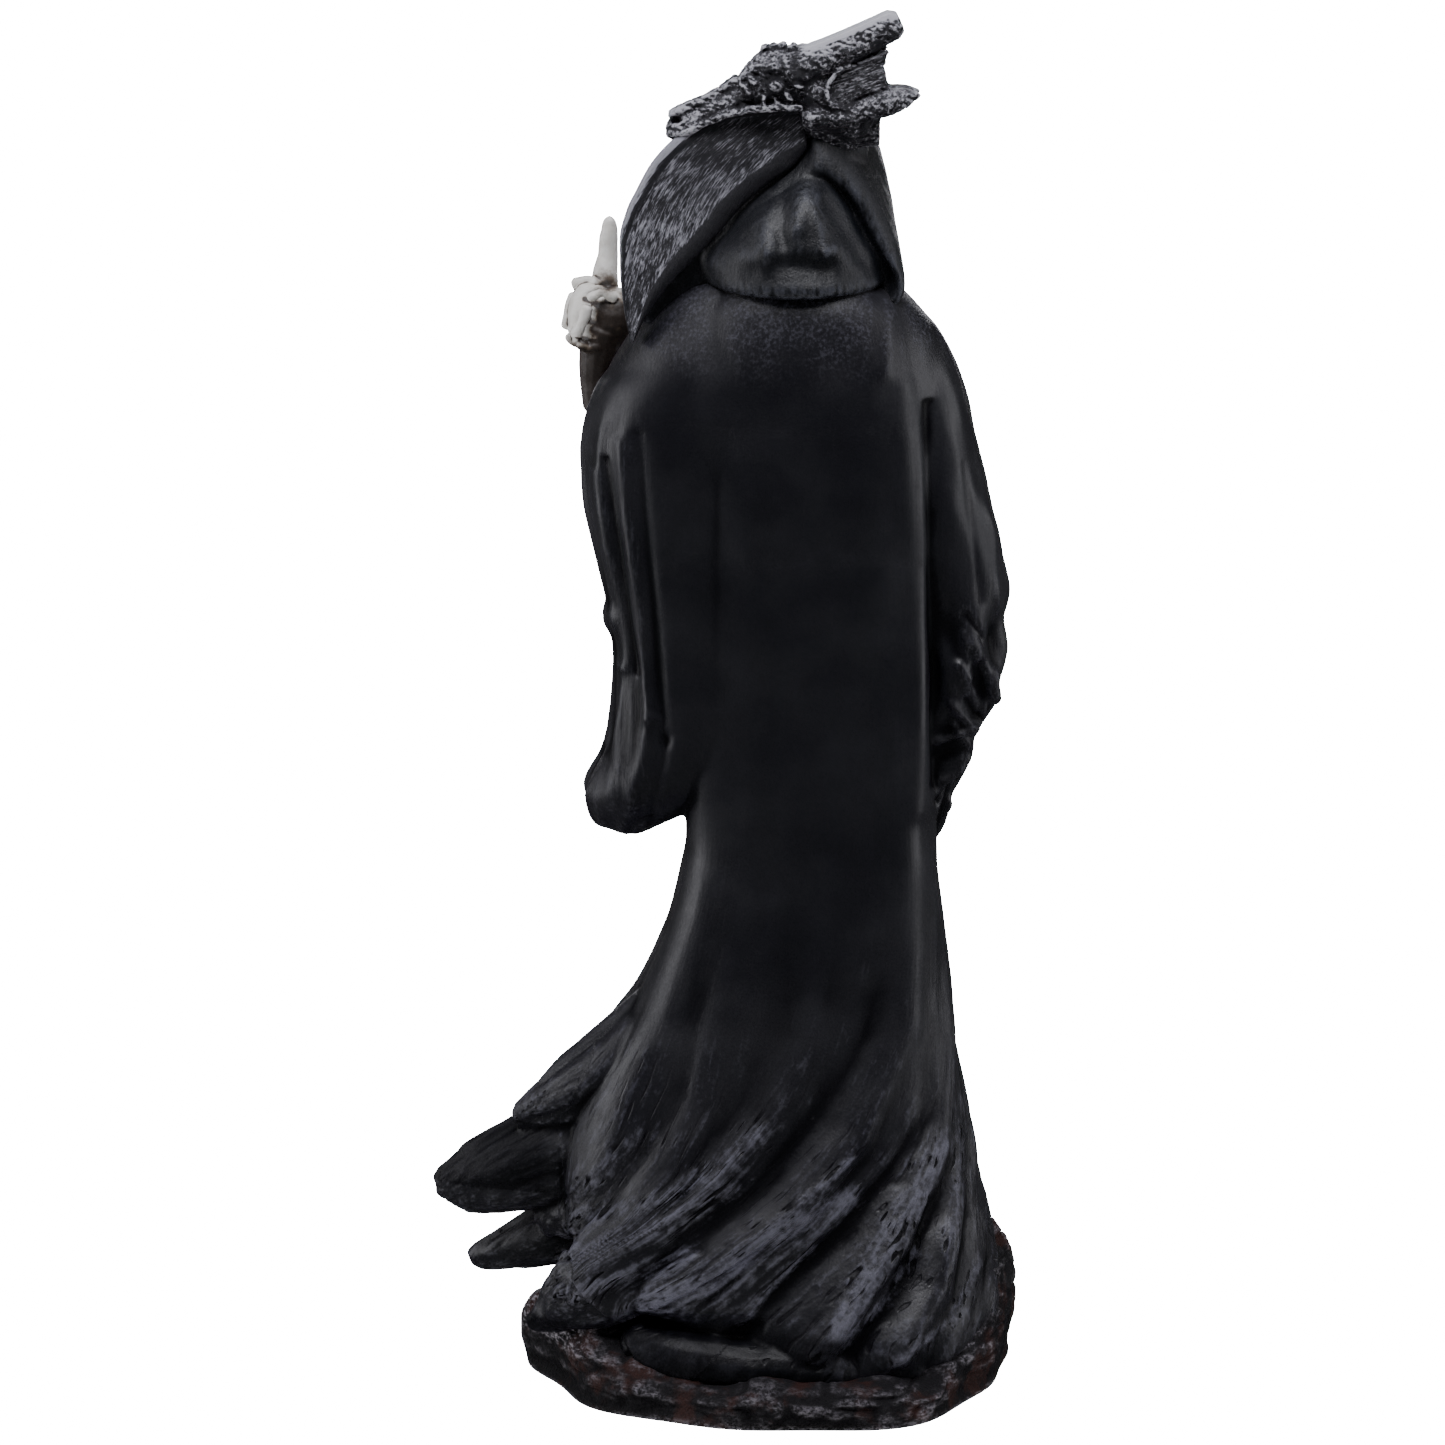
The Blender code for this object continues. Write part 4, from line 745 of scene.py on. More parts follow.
def dragon_horn(clay, side):
    y = DRAGON_MIDDLE + side * 4.6
    clay.tube([(-5, y - side * 0.6, 287.0), (-12.3, y, 290.2), (-18.6, y, 293.1), (-26.8, y, 297.0)],
              (4.4, 3.6, 3.3, 3.1), sides=18, steps=10)
    clay.tube([(-9, y, 277.8), (-17, y, 278.3), (-25, y, 280.7), (-29.5, y, 281.9), (-32.4, y, 282.5)],
              (3.0, 2.8, 3.0, 2.1, 0.5), sides=18, steps=10)
    # raised border round the web, and its ribs
    border = [(-16.5, 2.2, 279.6), (-13.6, 2.7, 280.6), (-12.6, 2.9, 283.6), (-14.2, 2.6, 286.9),
              (-17.6, 2.2, 288.9)]
    clay.tube([(x, y + side * out, z) for x, out, z in border], (0.4, 0.6, 0.65, 0.6, 0.4))
    for share in np.linspace(0, 1, 9):
        start = (-13.4 - 1.0 * (2 * share - 1) ** 2, y + side * 1.1, 280.4 + 6.6 * share)
        end = (-25.8 + 1.0 * math.sin(math.pi * share), y + side * 0.8, 284.4 + 7.2 * share)
        bow = (0, side * 0.3, 0.4 - 0.5 * share)
        middle = tuple((a + b) / 2 + k for a, b, k in zip(start, end, bow))
        clay.tube([start, middle, end], (0.50, 0.46, 0.36), sides=8)
    web = []
    rows = np.linspace(0, 1, 9)
    for share in np.linspace(0, 1, 24):
        reach = -25.6 + 0.9 * np.sin(math.pi * rows)
        x = -12.8 + (reach + 12.8) * share
        z = 279.8 + 7.4 * rows + share * (4.4 + 0.6 * rows)
        far = [(a, y + WEB_HALF, b) for a, b in zip(x, z)]
        near = [(a, y - WEB_HALF, b) for a, b in zip(x[::-1], z[::-1])]
        web.append(far + near)
    clay.loft(web)


def dragon(clay):
    first = len(clay.points)
    count = 56
    angle = np.arange(count) * TURN / count
    rings = []
    for x in np.linspace(DRAGON[0][0], DRAGON[-1][0], 90):
        low, high, half = head_station(x)
        y = DRAGON_MIDDLE + np.cos(angle) * half
        z = (low + high) / 2 + np.sin(angle) * (high - low) / 2
        rings.append(np.stack([np.full(count, x), y, z], axis=1))
    clay.loft(rings)
    for side in (1, -1):
        dragon_horn(clay, side)
        lip = [(21.0, 2.0, 273.8), (17.5, 3.9, 274.6), (12, 4.6, 277.0), (6, 5.4, 279.0),
               (0, 6.6, 279.8), (-7.2, 7.2, 280.0)]
        clay.tube([(x, DRAGON_MIDDLE + side * y, z) for x, y, z in lip], (0.9, 1.0, 0.9, 0.9, 0.9, 0.7))
        # nostril's rim and the ridge that runs from it up to the brow
        rim = [(20.6, 2.2, 277.8), (17.5, 2.6, 279.4), (12, 2.6, 281.8), (6.5, 3.2, 285.2)]
        clay.tube([(x, DRAGON_MIDDLE + side * y, z) for x, y, z in rim], (1.0, 1.1, 1.0, 1.2))
        eye, out = head_side(EYE[0], EYE[1], side)
        clay.ball(tuple(eye + out * 0.1), (1.7, 1.5, 1.3))
        brow = [(6.4, 284.6), (3.2, 287.6), (-1.4, 288.4), (-6.2, 287.6)]
        clay.tube([head_side(x, z, side)[0] for x, z in brow], (0.8, 1.1, 1.2, 0.8))
        for start, end, half in EYE_SCALES:
            root, normal = head_side(start[0], start[1], side)
            tip, tip_normal = head_side(end[0], end[1], side)
            leaf(clay, root, tip + tip_normal * 0.5, normal, half, 0.7)
        for x in np.arange(1.6, -6.8, -1.9):
            root, normal = head_side(x, 292.0 - 0.15 * abs(x + 2), side)
            leaf(clay, root, root + np.array([-2.2, 0, 0.7]), normal, 0.8, 0.6)
    clay.tube([(-10, 8, 279), (-15, 6, 274), (-16, 2, 268)], (6.2, 6.6, 5.6))
    clay.points[first:] = [(x, y, z + DRAGON_LIFT) for x, y, z in clay.points[first:]]


# Hands

def bone(clay, path, thick):
    """One finger bone: waisted, with a knob at each end."""
    path = np.asarray(path, dtype=float)
    start, end = path[0], path[-1]
    middle = path[1] if len(path) > 2 else (start + end) / 2
    near = start + (middle - start) * 0.45
    far = end + (middle - end) * 0.45
    sizes = thick * np.array([0.95, 1.0, 0.78, 0.92, 1.0])
    clay.tube([start, near, middle, far, end], sizes, steps=8)


def left_hand(clay):
    """Raised hand with the first finger up and the others curled outwards."""
    clay.tube([(36.8, -20.5, 212), (36.8, -20, 218), (36.2, -18.6, 224), (35.0, -17.6, 230)],
              (3.4, 4.0, 4.7, 5.0), flat=1.1, up=(0, 1, 0))
    clay.ball((33.2, -18.6, 232.0), (6.0, 6.6, 6.8))
    clay.ball((38.8, -20.0, 231.8), (4.6, 4.8, 7.6))
    clay.tube([(35.4, -23, 234), (35.2, -24.4, 240.5), (34.6, -25.4, 245), (34.4, -25.7, 249),
               (34.2, -25.6, 251), (34.2, -25.4, 252.6), (34.2, -25.3, 253.4)],
              (3.4, 2.9, 2.3, 2.1, 1.8, 1.3, 0.5), sides=18, steps=8)
    # two curled fingers in front of the palm, as the photo sees them, and one beyond
    for y, lift, out in ((-17.8, 2.4, 1.0), (-13.0, 2.2, 0.0)):
        bone(clay, [(33.0, y - 0.4, 234.8 + lift), (35.6 + out, y, 236.0 + lift),
                    (38.2 + out, y, 234.8 + lift)], 1.15)
        bone(clay, [(38.9 + out, y, 232.6 + lift), (39.9 + out, y, 229.6 + lift),
                    (41.2 + out, y - 0.3, 226.8 + lift)], 1.4)
        bone(clay, [(40.6 + out, y - 0.5, 224.7 + lift), (38.8 + out, y - 0.6, 223.6 + lift),
                    (36.4 + out, y - 0.7, 224.0 + lift)], 1.25)
    bone(clay, [(36.6, -22, 238.6), (39.2, -22, 239.6), (41.6, -22, 238.8)], 1.6)
    bone(clay, [(42.1, -22, 236.4), (43.2, -22, 233.0), (43.6, -22.3, 229.6)], 1.35)
    bone(clay, [(43.2, -22, 227.4), (41.5, -22, 225.8), (39.4, -22, 225.4)], 1.2)
    bone(clay, [(35, -24.5, 226), (36.4, -26.6, 229), (37.4, -27.4, 232)], 1.7)
    bone(clay, [(37.6, -27.2, 233.6), (37.4, -26.8, 236), (36.6, -26.2, 238)], 1.4)


def right_hand(clay):
    """Bony hand closed round the shaft."""
    clay.tube([(-32, -31, 150), (-31, -33, 152), (-30, -34, 152)], (5.6, 5.4, 5.0),
              flat=1.2, up=(0, 0, 1))
    for z in (145.4, 149.6, 153.8, 158.0):
        clay.tube([(-31.8, -34, z), (-30.8, -39.2, z), (-26.6, -40.8, z), (-22.8, -38.2, z),
                   (-22.6, -34.2, z)], (2.2, 2.2, 2.1, 2.0, 1.7), up=(0, 0, 1))
    clay.tube([(-31, -33, 158), (-28, -35, 163.5), (-25.5, -37.4, 165.5)], (2.4, 2.1, 1.7))


# Rock

BASE_MIDDLE = (-0.0022, 0.002)
# Cosines that make the lobes of the rock: frequency, phase, amplitude
ROCK_LOBES = [(3, 0.5, 0.035), (5, 1.9, 0.03), (9, 0, 0.018)]
# Rings of the rock from the bottom up: share of the height, share of the half size
ROCK_RINGS = [(-0.10, 0.97), (0.12, 0.985), (0.35, 1.0), (0.62, 1.0), (0.82, 0.975), (0.95, 0.93),
              (1.0, 0.86), (1.02, 0.70), (1.04, 0.40)]


def rock(clay):
    """Low rock. Its near side at the back is lower than its flanks."""
    count = 320
    angle = np.arange(count) * TURN / count
    c = np.cos(angle)
    s = np.sin(angle)
    lobes = 1 + sum(high * np.cos(turns * angle + phase) for turns, phase, high in ROCK_LOBES)
    x = c * BASE_WIDTH / 2 * lobes + BASE_MIDDLE[0]
    y = s * BASE_DEPTH / 2 * lobes + BASE_MIDDLE[1]
    near = smoothstep(np.where(c > 0, 0.5, 0.2), np.where(c > 0, 0.95, 0.9), s)
    top = BASE_HEIGHT * (1 - near) + BASE_NEAR_HEIGHT * near
    knob = 0.010 * np.exp(-((angle - math.pi + 0.05) / 0.30) ** 2)
    knob += 0.011 * np.exp(-((angle - math.pi - 0.28) / 0.16) ** 2)
    facets = 0.0006 * wave(angle, (13, 0.3, 1.0), (21, 1.2, 0.6))
    rings = []
    for level, share in ROCK_RINGS:
        z = (top + facets + knob) * level
        bulge = share + 0.006 * np.sin(angle * 11 + level * 5) * (0.2 < level < 0.98)
        rings.append(np.stack([x * bulge, y * bulge, z], axis=1))
    clay.loft(rings)


# Mesh tools

def hashed(ix, iy, iz, seed):
    mixed = (ix * 73856093) ^ (iy * 19349663) ^ (iz * 83492791) ^ (seed * 39916801)
    mixed = (mixed ^ (mixed >> 13)) * 1274126177
    return ((mixed ^ (mixed >> 16)) & 0xFFFF) / 32767.5 - 1


def noise(points, size, seed=0):
    """Smooth value noise between -1 and 1, with lumps of about this size (one or three sizes)."""
    p = np.asarray(points, dtype=float) / size
    base = np.floor(p).astype(np.int64)
    f = p - base
    f = f * f * (3 - 2 * f)
    total = 0
    for corner in itertools.product((0, 1), repeat=3):
        wx, wy, wz = np.where(corner, f, 1 - f).T
        total = total + wx * wy * wz * hashed(*(base + corner).T, seed)
    return total


def grain(points, size, seed=0, layers=3):
    """Noise in several layers, each half the size and strength of the one before."""
    total = 0
    size = np.asarray(size, dtype=float)
    for k in range(layers):
        total = total + noise(points, size / 2 ** k, seed + k) / 2 ** k
    return total


def read_points(mesh):
    co = np.empty(len(mesh.vertices) * 3)
    mesh.vertices.foreach_get("co", co)
    return co.reshape(-1, 3)


def read_normals(mesh):
    normal = np.empty(len(mesh.vertices) * 3, dtype=np.float32)
    mesh.vertex_normals.foreach_get("vector", normal)
    return normal.reshape(-1, 3).astype(float)


def write_points(mesh, co):
    mesh.vertices.foreach_set("co", np.asarray(co).ravel())
    mesh.update()


def neighbours(mesh):
    edges = np.empty(len(mesh.edges) * 2, dtype=np.int64)
    mesh.edges.foreach_get("vertices", edges)
    edges = edges.reshape(-1, 2)
    ends = np.concatenate([edges[:, 0], edges[:, 1]])
    others = np.concatenate([edges[:, 1], edges[:, 0]])
    degree = np.bincount(ends, minlength=len(mesh.vertices))
    return ends, others, np.maximum(degree, 1)


def relaxed(values, links, turns, strength=0.6):
    """Values averaged with their neighbours, a number of times."""
    ends, others, degree = links
    values = np.array(values, dtype=float)
    flat = values.reshape(len(values), -1)
    amount = np.broadcast_to(np.asarray(strength, dtype=float), (len(values),))
    for _ in range(turns):
        for i in range(flat.shape[1]):
            mean = np.bincount(ends, weights=flat[others, i], minlength=len(values)) / degree
            flat[:, i] += (mean - flat[:, i]) * amount
    return flat.reshape(values.shape)


def figure_units(co):
    """Metres to figure units."""
    out = np.asarray(co) / UNIT
    out[:, 2] += FOOT_LEVEL - FIGURE_FOOT / UNIT
    return out


def placed(name, data):
    """New object in the scene."""
    item = bpy.data.objects.new(name, data)
    bpy.context.scene.collection.objects.link(item)
    return item


def evaluated_copy(item, name):
    graph = bpy.context.evaluated_depsgraph_get()
    mesh = bpy.data.meshes.new_from_object(item.evaluated_get(graph))
    mesh.name = name
    return mesh


def lump_mesh(name, clay, metres=False):
    points = np.asarray(clay.points) if metres else world(clay.points)
    mesh = bpy.data.meshes.new(name)
    mesh.from_pydata([tuple(p) for p in points], [], clay.faces)
    return mesh


def fused(name, clay, voxel, metres=False):
    """One skin round all the lumps."""
    raw = lump_mesh(name + "_lumps", clay, metres)
    holder = placed(name + "_lumps", raw)
    skin = holder.modifiers.new("skin", "REMESH")
    skin.mode = "VOXEL"
    skin.voxel_size = voxel
    mesh = evaluated_copy(holder, name)
    bpy.data.objects.remove(holder, do_unlink=True)
    bpy.data.meshes.remove(raw)
    return mesh


def thinned(mesh, most):
    """The mesh with at most this many triangles."""
    triangles = sum(len(face.vertices) - 2 for face in mesh.polygons)
    if triangles <= most:
        return mesh
    holder = placed("thinning", mesh)
    thin = holder.modifiers.new("thin", "DECIMATE")
    thin.ratio = most / triangles
    result = evaluated_copy(holder, mesh.name)
    bpy.data.objects.remove(holder, do_unlink=True)
    return result


def soft_skin(name, clay, voxel, turns, metres=False):
    """Fused skin, evened out a little, and its points."""
    mesh = fused(name, clay, voxel, metres)
    co = relaxed(read_points(mesh), neighbours(mesh), turns)
    write_points(mesh, co)
    return mesh, co


def pushed(mesh, co, push):
    """The mesh with its points moved out along their normals, by figure units."""
    write_points(mesh, co + read_normals(mesh) * (push * UNIT)[:, None])
    return thinned(mesh, MOST_TRIANGLES)


def set_value(mesh, name, values):
    values = np.asarray(values, dtype=np.float32)
    kind = "FLOAT" if values.ndim == 1 else "FLOAT_VECTOR"
    field = mesh.attributes.new(name, kind, "POINT")
    field.data.foreach_set("value" if kind == "FLOAT" else "vector", values.ravel())


def mark_relief(mesh, fine, broad):
    """Stores how far each point stands out from the surface round it, in millimetres."""
    co = read_points(mesh)
    normal = read_normals(mesh)
    links = neighbours(mesh)
    near = relaxed(co, links, fine)
    far = relaxed(near, links, broad)
    edge = ((co - near) * normal).sum(axis=1) * 1000
    ridge = ((near - far) * normal).sum(axis=1) * 1000
    set_value(mesh, "edge", edge)
    set_value(mesh, "ridge", ridge)
    return edge, ridge


# Cloth detail

def flow_table():
    """Fold angle by level and angle, to look up."""
    levels = np.linspace(*ROBE_SPAN, 123)
    angle = np.linspace(0, TURN, 361)
    return levels, np.stack([fold_angle(angle, z) for z in levels])


# Lines that the cloth of the back runs along, in the plane of the photo, and how far round each lies
FLOW_LINES = [
    (0, [(24, 230), (18, 132), (20.3, 115), (25.6, 97), (36.4, 78), (49, 66)]),
    (7, [(15, 230), (14.3, 155), (16, 111), (24.3, 83), (34.5, 60), (44.6, 43), (52.2, 26.6)]),
    (16, [(4, 230), (4.6, 122), (12.4, 83), (14.1, 68), (20.8, 53), (31, 41.5), (41.2, 33),
          (50.5, 24)]),
    (28, [(-14, 230), (-18, 111), (-9.7, 80), (-1, 64), (10.7, 51.5), (24.3, 40.6), (38.6, 31.5),
          (47, 23)]),
    (40, [(-26, 230), (-32.7, 111), (-30.6, 83), (-19.9, 60), (-6.2, 45.5), (10.7, 33), (27.3, 22.5)]),
    (48, [(-33, 230), (-37, 98), (-37.2, 68), (-28.9, 51.5), (-18, 39.8), (-6.2, 29.8), (6.8, 17.6)]),
    (53, [(-36, 225), (-38.6, 98), (-39.7, 76), (-37.2, 55.5), (-29, 38), (-20.5, 26.6),
          (-10.6, 14.4)]),
    (58, [(-40, 200), (-41.9, 80), (-43.4, 57), (-41.7, 41.5), (-37.6, 26.6), (-29, 14)]),
    (63, [(-43, 180), (-44, 78), (-47.3, 46), (-48.4, 27), (-42, 14)]),
]


def back_flow(x, z):
    """Place across the folds of the back, in about millimetres from its left edge."""
    offsets = [-line_offset(x, z, line)[0] for place, line in FLOW_LINES]
    places = [place for place, line in FLOW_LINES]
    total = places[0] + np.minimum(offsets[0], 0) + np.zeros(len(x))
    for i in range(len(places) - 1):
        past, ahead = offsets[i], -offsets[i + 1]
        between = (past > 0) & (ahead > 0)
        share = past / np.maximum(past + ahead, 0.01)
        total = np.where(between, places[i] + (places[i + 1] - places[i]) * share, total)
    return np.where(offsets[-1] > 0, places[-1] + offsets[-1], total)


def cloth_flow(points):
    """Coordinates that run with the folds: two round the body and a slow one along them."""
    x, y, z = points.T
    left, right = track(ROBE_LEFT, z), track(ROBE_RIGHT, z)
    depth = np.where(y > 0, track(ROBE_BACK, z), -track(ROBE_FRONT, z))
    across = np.clip((x - (left + right) / 2) / ((left - right) / 2), -2, 2)
    deep = np.clip(y / depth, -2, 2)
    c = np.sign(across) * np.abs(across) ** 1.35
    s = np.sign(deep) * np.abs(deep) ** 1.35
    angle = np.mod(np.arctan2(s, c), TURN)
    levels, table = flow_table()
    row = np.clip(np.interp(z, levels, np.arange(len(levels))), 0, len(levels) - 1.001)
    column = angle / TURN * 360
    i = row.astype(int)
    j = np.clip(column.astype(int), 0, 359)
    u = row - i
    v = column - j
    phi = (table[i, j] * (1 - u) * (1 - v) + table[i + 1, j] * u * (1 - v)
           + table[i, j + 1] * (1 - u) * v + table[i + 1, j + 1] * u * v)
    robe_flow = np.stack([41 * np.cos(phi), 41 * np.sin(phi), z], axis=1)
    behind = (smoothstep(-6, 4, y) * (1 - smoothstep(170, 200, z)))[:, None]
    slant = z - x * (1 - smoothstep(90, 130, z))
    across_back = np.stack([back_flow(x, z), 100 + 0.3 * y, slant], axis=1)
    robe_flow = np.where(behind > 0.5, across_back, robe_flow)
    run = np.stack([y, 0.5 * x + 0.86 * z, 0.86 * x - 0.5 * z], axis=1)
    ragged = 1.6 * noise(points, 4.0, 15)
    tongue = (x - left > 0.5 + ragged) & (z < 92)
    robe_flow = np.where(tongue[:, None], run, robe_flow)
    sleeve = ((x > 22 + ragged) | (x < -38 + ragged)) & (z > 121) | (z > 214)
    return np.where(sleeve[:, None], points, robe_flow)


# Crumples of the right sleeve, in the plane of the photo: two ends (x, z), width, height
ELBOW_MARKS = [
    ((-44, 166), (-50, 152), 1.44, 1.19),
    ((-41.5, 161), (-45.5, 150), 0.96, 1.12),
    ((-46, 161), (-49.5, 146), 0.96, -1.12),
    ((-40, 152.5), (-46.5, 143), 0.88, 1.26),
    ((-43.5, 153), (-47.0, 147), 0.96, -0.98),
    ((-47.5, 150), (-49.5, 158), 0.8, 0.91),
    ((-37.5, 143.5), (-46.0, 146.5), 0.8, 1.12),
    ((-37.5, 139.5), (-43.5, 141.5), 1.28, -0.49),
    ((-40.5, 147.5), (-45.5, 139.5), 0.72, 0.77),
    ((-38.5, 134), (-44.0, 137.5), 0.88, 0.98),
    ((-37.5, 129.5), (-41.5, 133.5), 1.04, -0.98),
    ((-38.5, 125.5), (-42.0, 130.0), 0.8, 0.84),
    ((-43.0, 172), (-47.0, 166), 0.88, -0.84),
    ((-42.5, 168), (-43.5, 158), 0.8, 0.7),
    ((-46.5, 215), (-50.5, 172), 0.88, 0.42),
    ((-42.5, 205), (-46.0, 175), 0.88, -0.35),
]
# Long soft folds of the upper back
BACK_MARKS = [
    ((11.3, 214), (11.2, 136), 4.4, 0.35),
    ((37.0, 203), (31.0, 160), 1.2, 0.6),
    ((31.2, 160), (32.0, 138), 1.2, 0.6),
    ((34.6, 206), (28.0, 160), 1.1, -0.6),
    ((31.4, 210), (25.0, 150), 1.5, 0.7),
    ((27.4, 212), (22.0, 145), 1.4, -0.5),
    ((25.0, 150), (30.0, 128), 1.5, 0.7),
    ((21.5, 146), (25.0, 126), 1.3, -0.6),
    ((-29.0, 222), (-33.5, 130), 2.6, 0.7),
    ((-34.5, 218), (-36.8, 135), 1.5, -0.9),
    ((-26.0, 240), (-25.0, 226), 1.6, 0.5),
]


# Where the dry brush caught the skirt, in the plane of the photo: points (x, z), width, strength
BRUSHED = [
    ([(2.0, 61.3), (10.7, 53.3), (20.4, 47.5), (29.4, 44.3), (40.9, 40.1)], 2.6, 0.75),
    ([(8.1, 48.8), (17.8, 44.3), (29.5, 38.7), (42.5, 33.3)], 2.8, 0.8),
    ([(16.1, 35.6), (24.5, 31.1), (35.6, 27.9), (44.7, 24.8)], 2.6, 0.8),
    ([(24.5, 60.2), (32.5, 53.3), (39.9, 45.2)], 2.6, 0.5),
    ([(-18.4, 55.9), (-12.4, 51.0), (-7.2, 47.2)], 0.9, 0.8),
    ([(-16.6, 46.7), (-1.4, 38.7), (10.7, 29.7), (26.4, 24.1)], 3.6, 1.15),
    ([(-10.0, 36.7), (-0.3, 26.6), (5.7, 19.6)], 1.0, 1.0),
    ([(-38.4, 55.5), (-31.1, 45.0), (-23.8, 36.1), (-19.1, 26.0), (-13.8, 14.0)], 3.6, 0.95),
    ([(-32.5, 35.0), (-26.9, 26.0), (-19.2, 19.7)], 1.6, 0.9),
    ([(-45.9, 27.2), (-40.5, 19.1), (-28.4, 12.8)], 1.4, 1.0),
    ([(-42.9, 62.9), (-42.5, 49.0), (-39.6, 36.3)], 2.4, 0.5),
]


def brushed_share(x, z):
    total = np.zeros(len(x))
    for line, width, strength in BRUSHED:
        total = np.maximum(total, strength * pleat(line_offset(x, z, line)[0], width, 1))
    return total


# How strong the fine detail of the cloth is, by level
CLOTH_DETAIL = [(4, 1.0), (45, 0.95), (62, 0.7), (80, 0.35), (96, 0.12), (125, 0.02)]
# Strands along the folds: size, seed, height
STRANDS = [(4.2, 3, 0.34), (2.3, 5, 0.36), (1.4, 7, 0.26)]
# Cuts between them: size, seed, how narrow, depth
CUTS = [(3.0, 9, 0.24, 0.75), (1.9, 10, 0.2, 0.5)]
# How much slower detail changes along the cloth than across it, by kind
STRAND_RUN = np.array([1, 1, 0.06])
PATCH_RUN = np.array([1, 1, 0.5])
LEFT_PLEAT_RUN = np.array([1, 1, 0.07])
RIGHT_PLEAT_RUN = np.array([1, 1, 0.12])
CRUMPLE_RUN = np.array([1, 1, 0.6])
# How far the tongues' tips are held in, inside the solid
TIP_INSET = 0.4


def cloth_push(points, normal, flow):
    """Fine creases along the folds, and the crumples, in figure units."""
    x, y, z = points.T
    low = track(CLOTH_DETAIL, z)
    calm = 1 - 0.75 * band(x, -14, -4, 8, 16) * smoothstep(70, 100, z) * (y > 0)
    fine = flow * STRAND_RUN
    strands = sum(height * noise(fine, size, seed) for size, seed, height in STRANDS)
    marks = np.clip(0.35 + brushed_share(x, z), 0, 1)
    cut = sum(depth * np.clip(1 - np.abs(noise(fine, size, seed)) / narrow, 0, 1)
              for size, seed, narrow, depth in CUTS)
    cut *= smoothstep(-0.25, 0.35, noise(flow * PATCH_RUN, 8, 2))
    push = (strands - cut * marks) * low * calm
    push += 0.10 * grain(points, 1.6, 27, 2) * marks * low
    behind = smoothstep(0.0, 0.35, normal[:, 1])
    facing = smoothstep(0.15, 0.6, normal[:, 1])
    push += marks_push(ELBOW_MARKS, x, z) * facing
    push += marks_push(BACK_MARKS, x, z) * behind
    sleeve = smoothstep(22, 27, x) * band(z, 118, 124, 205, 222)
    push += sleeve * (noise(points * LEFT_PLEAT_RUN, 2.6, 12) * 0.38)
    arm = smoothstep(-38, -41, x) * smoothstep(118, 124, z)
    push += arm * (noise(points * RIGHT_PLEAT_RUN, 3.0, 14) * 0.16)
    rough = grain(points * CRUMPLE_RUN, 2.8, 17, 2)
    push += arm * (1 - smoothstep(165, 178, z)) * 0.12 * rough
    push += 0.10 * grain(points, 9, 21, 2)
    return push - TIP_INSET * smoothstep(66, 70, x)


def cloth_skin(name):
    clay = Clay()
    for shape in (robe, yoke, mantle, tongues, left_sleeve, right_sleeve):
        shape(clay)
    mesh = fused(name, clay, CLOTH_VOXEL)
    links = neighbours(mesh)
    co = read_points(mesh)
    points = figure_units(co)
    x, y, z = points.T
    shoulder = band(z, 146, 186, 226, 234) * smoothstep(-14, -6, y)
    shoulder *= 1 - smoothstep(26, 34, x) * smoothstep(216, 224, z)
    crease = np.exp(-((x - 11) / 6) ** 4) * band(z, 126, 136, 200, 206) * (y > 0)
    arm = smoothstep(-34, -38, x) * band(z, 120, 126, 200, 215)
    shoulder = np.maximum(shoulder, np.maximum(crease, 0.8 * arm * (y > -16)))
    pleats = smoothstep(20, 24, x) * band(z, 122, 130, 215, 225)
    co = relaxed(co, links, 2)
    co = relaxed(co, links, 22, 0.6 * shoulder)
    co = relaxed(co, links, 18, 0.6 * pleats)
    write_points(mesh, co)
    points = figure_units(co)
    mesh = pushed(mesh, co, cloth_push(points, read_normals(mesh), cloth_flow(points)))
    points = figure_units(read_points(mesh))
    set_value(mesh, "flow", cloth_flow(points))
    ridge = mark_relief(mesh, 3, 40)[1]
    x, y, z = points.T
    # the ridge value also drives the painted shade in the valleys of the folds; it fades out above the
    # skirt
    set_value(mesh, "ridge", ridge * (1 - smoothstep(90, 125, z)))
    behind = smoothstep(-4, 4, y)
    worn = 0.30 * track([(4, 1.0), (60, 0.8), (100, 0.3), (130, 0.0)], z)
    worn = worn + brushed_share(x, z) * behind * (1 - smoothstep(48, 56, x))
    tongue = smoothstep(42, 50, x) * (z < 100)
    tongue_worn = tongue * track([(30, 0.20), (56, 0.22), (64, 0.50), (90, 0.50)], z)
    worn = np.maximum(worn * (1 - 0.7 * tongue), tongue_worn)
    worn = np.maximum(worn, 0.15 * smoothstep(22, 28, x) * (1 - smoothstep(205, 225, z)))
    worn = np.maximum(worn, 0.16 * smoothstep(-38, -42, x) * band(z, 118, 124, 170, 195))
    # Painted highlight: grey brushing on the tops of the shoulders, where the top light falls
    worn = np.maximum(worn, 0.24 * smoothstep(218, 234, z) * behind)
    set_value(mesh, "worn", worn)
    # Painted shade under the overhanging hem at the back and on the second tongue: dark colour, no dry
    # brush, little sheen
    under = 0.75 * smoothstep(-22, -14, x) * (1 - smoothstep(17, 20, z)) * behind
    under = np.maximum(under, 0.7 * smoothstep(46, 50, x) * (z > 42) * (z < 58))
    set_value(mesh, "hem_and_tongue_shade", under)
    set_value(mesh, "calm", smoothstep(150, 185, z) * band(x, -40, -36, 22, 26) * behind)
    set_value(mesh, "place", points)
    return mesh


def hood_skin(name):
    clay = Clay()
    hood(clay)
    nape_bag(clay)
    clay.tube([(-11, 6, 277), (-15, 5, 273), (-16, 2, 268)], (6.0, 6.6, 5.6))
    mesh, co = soft_skin(name, clay, HOOD_VOXEL, 10)
    mesh = pushed(mesh, co, 0.14 * grain(figure_units(co) * PATCH_RUN, 5, 31, 3))
    set_value(mesh, "flow", figure_units(read_points(mesh)))
    mark_relief(mesh, 4, 60)
    return mesh


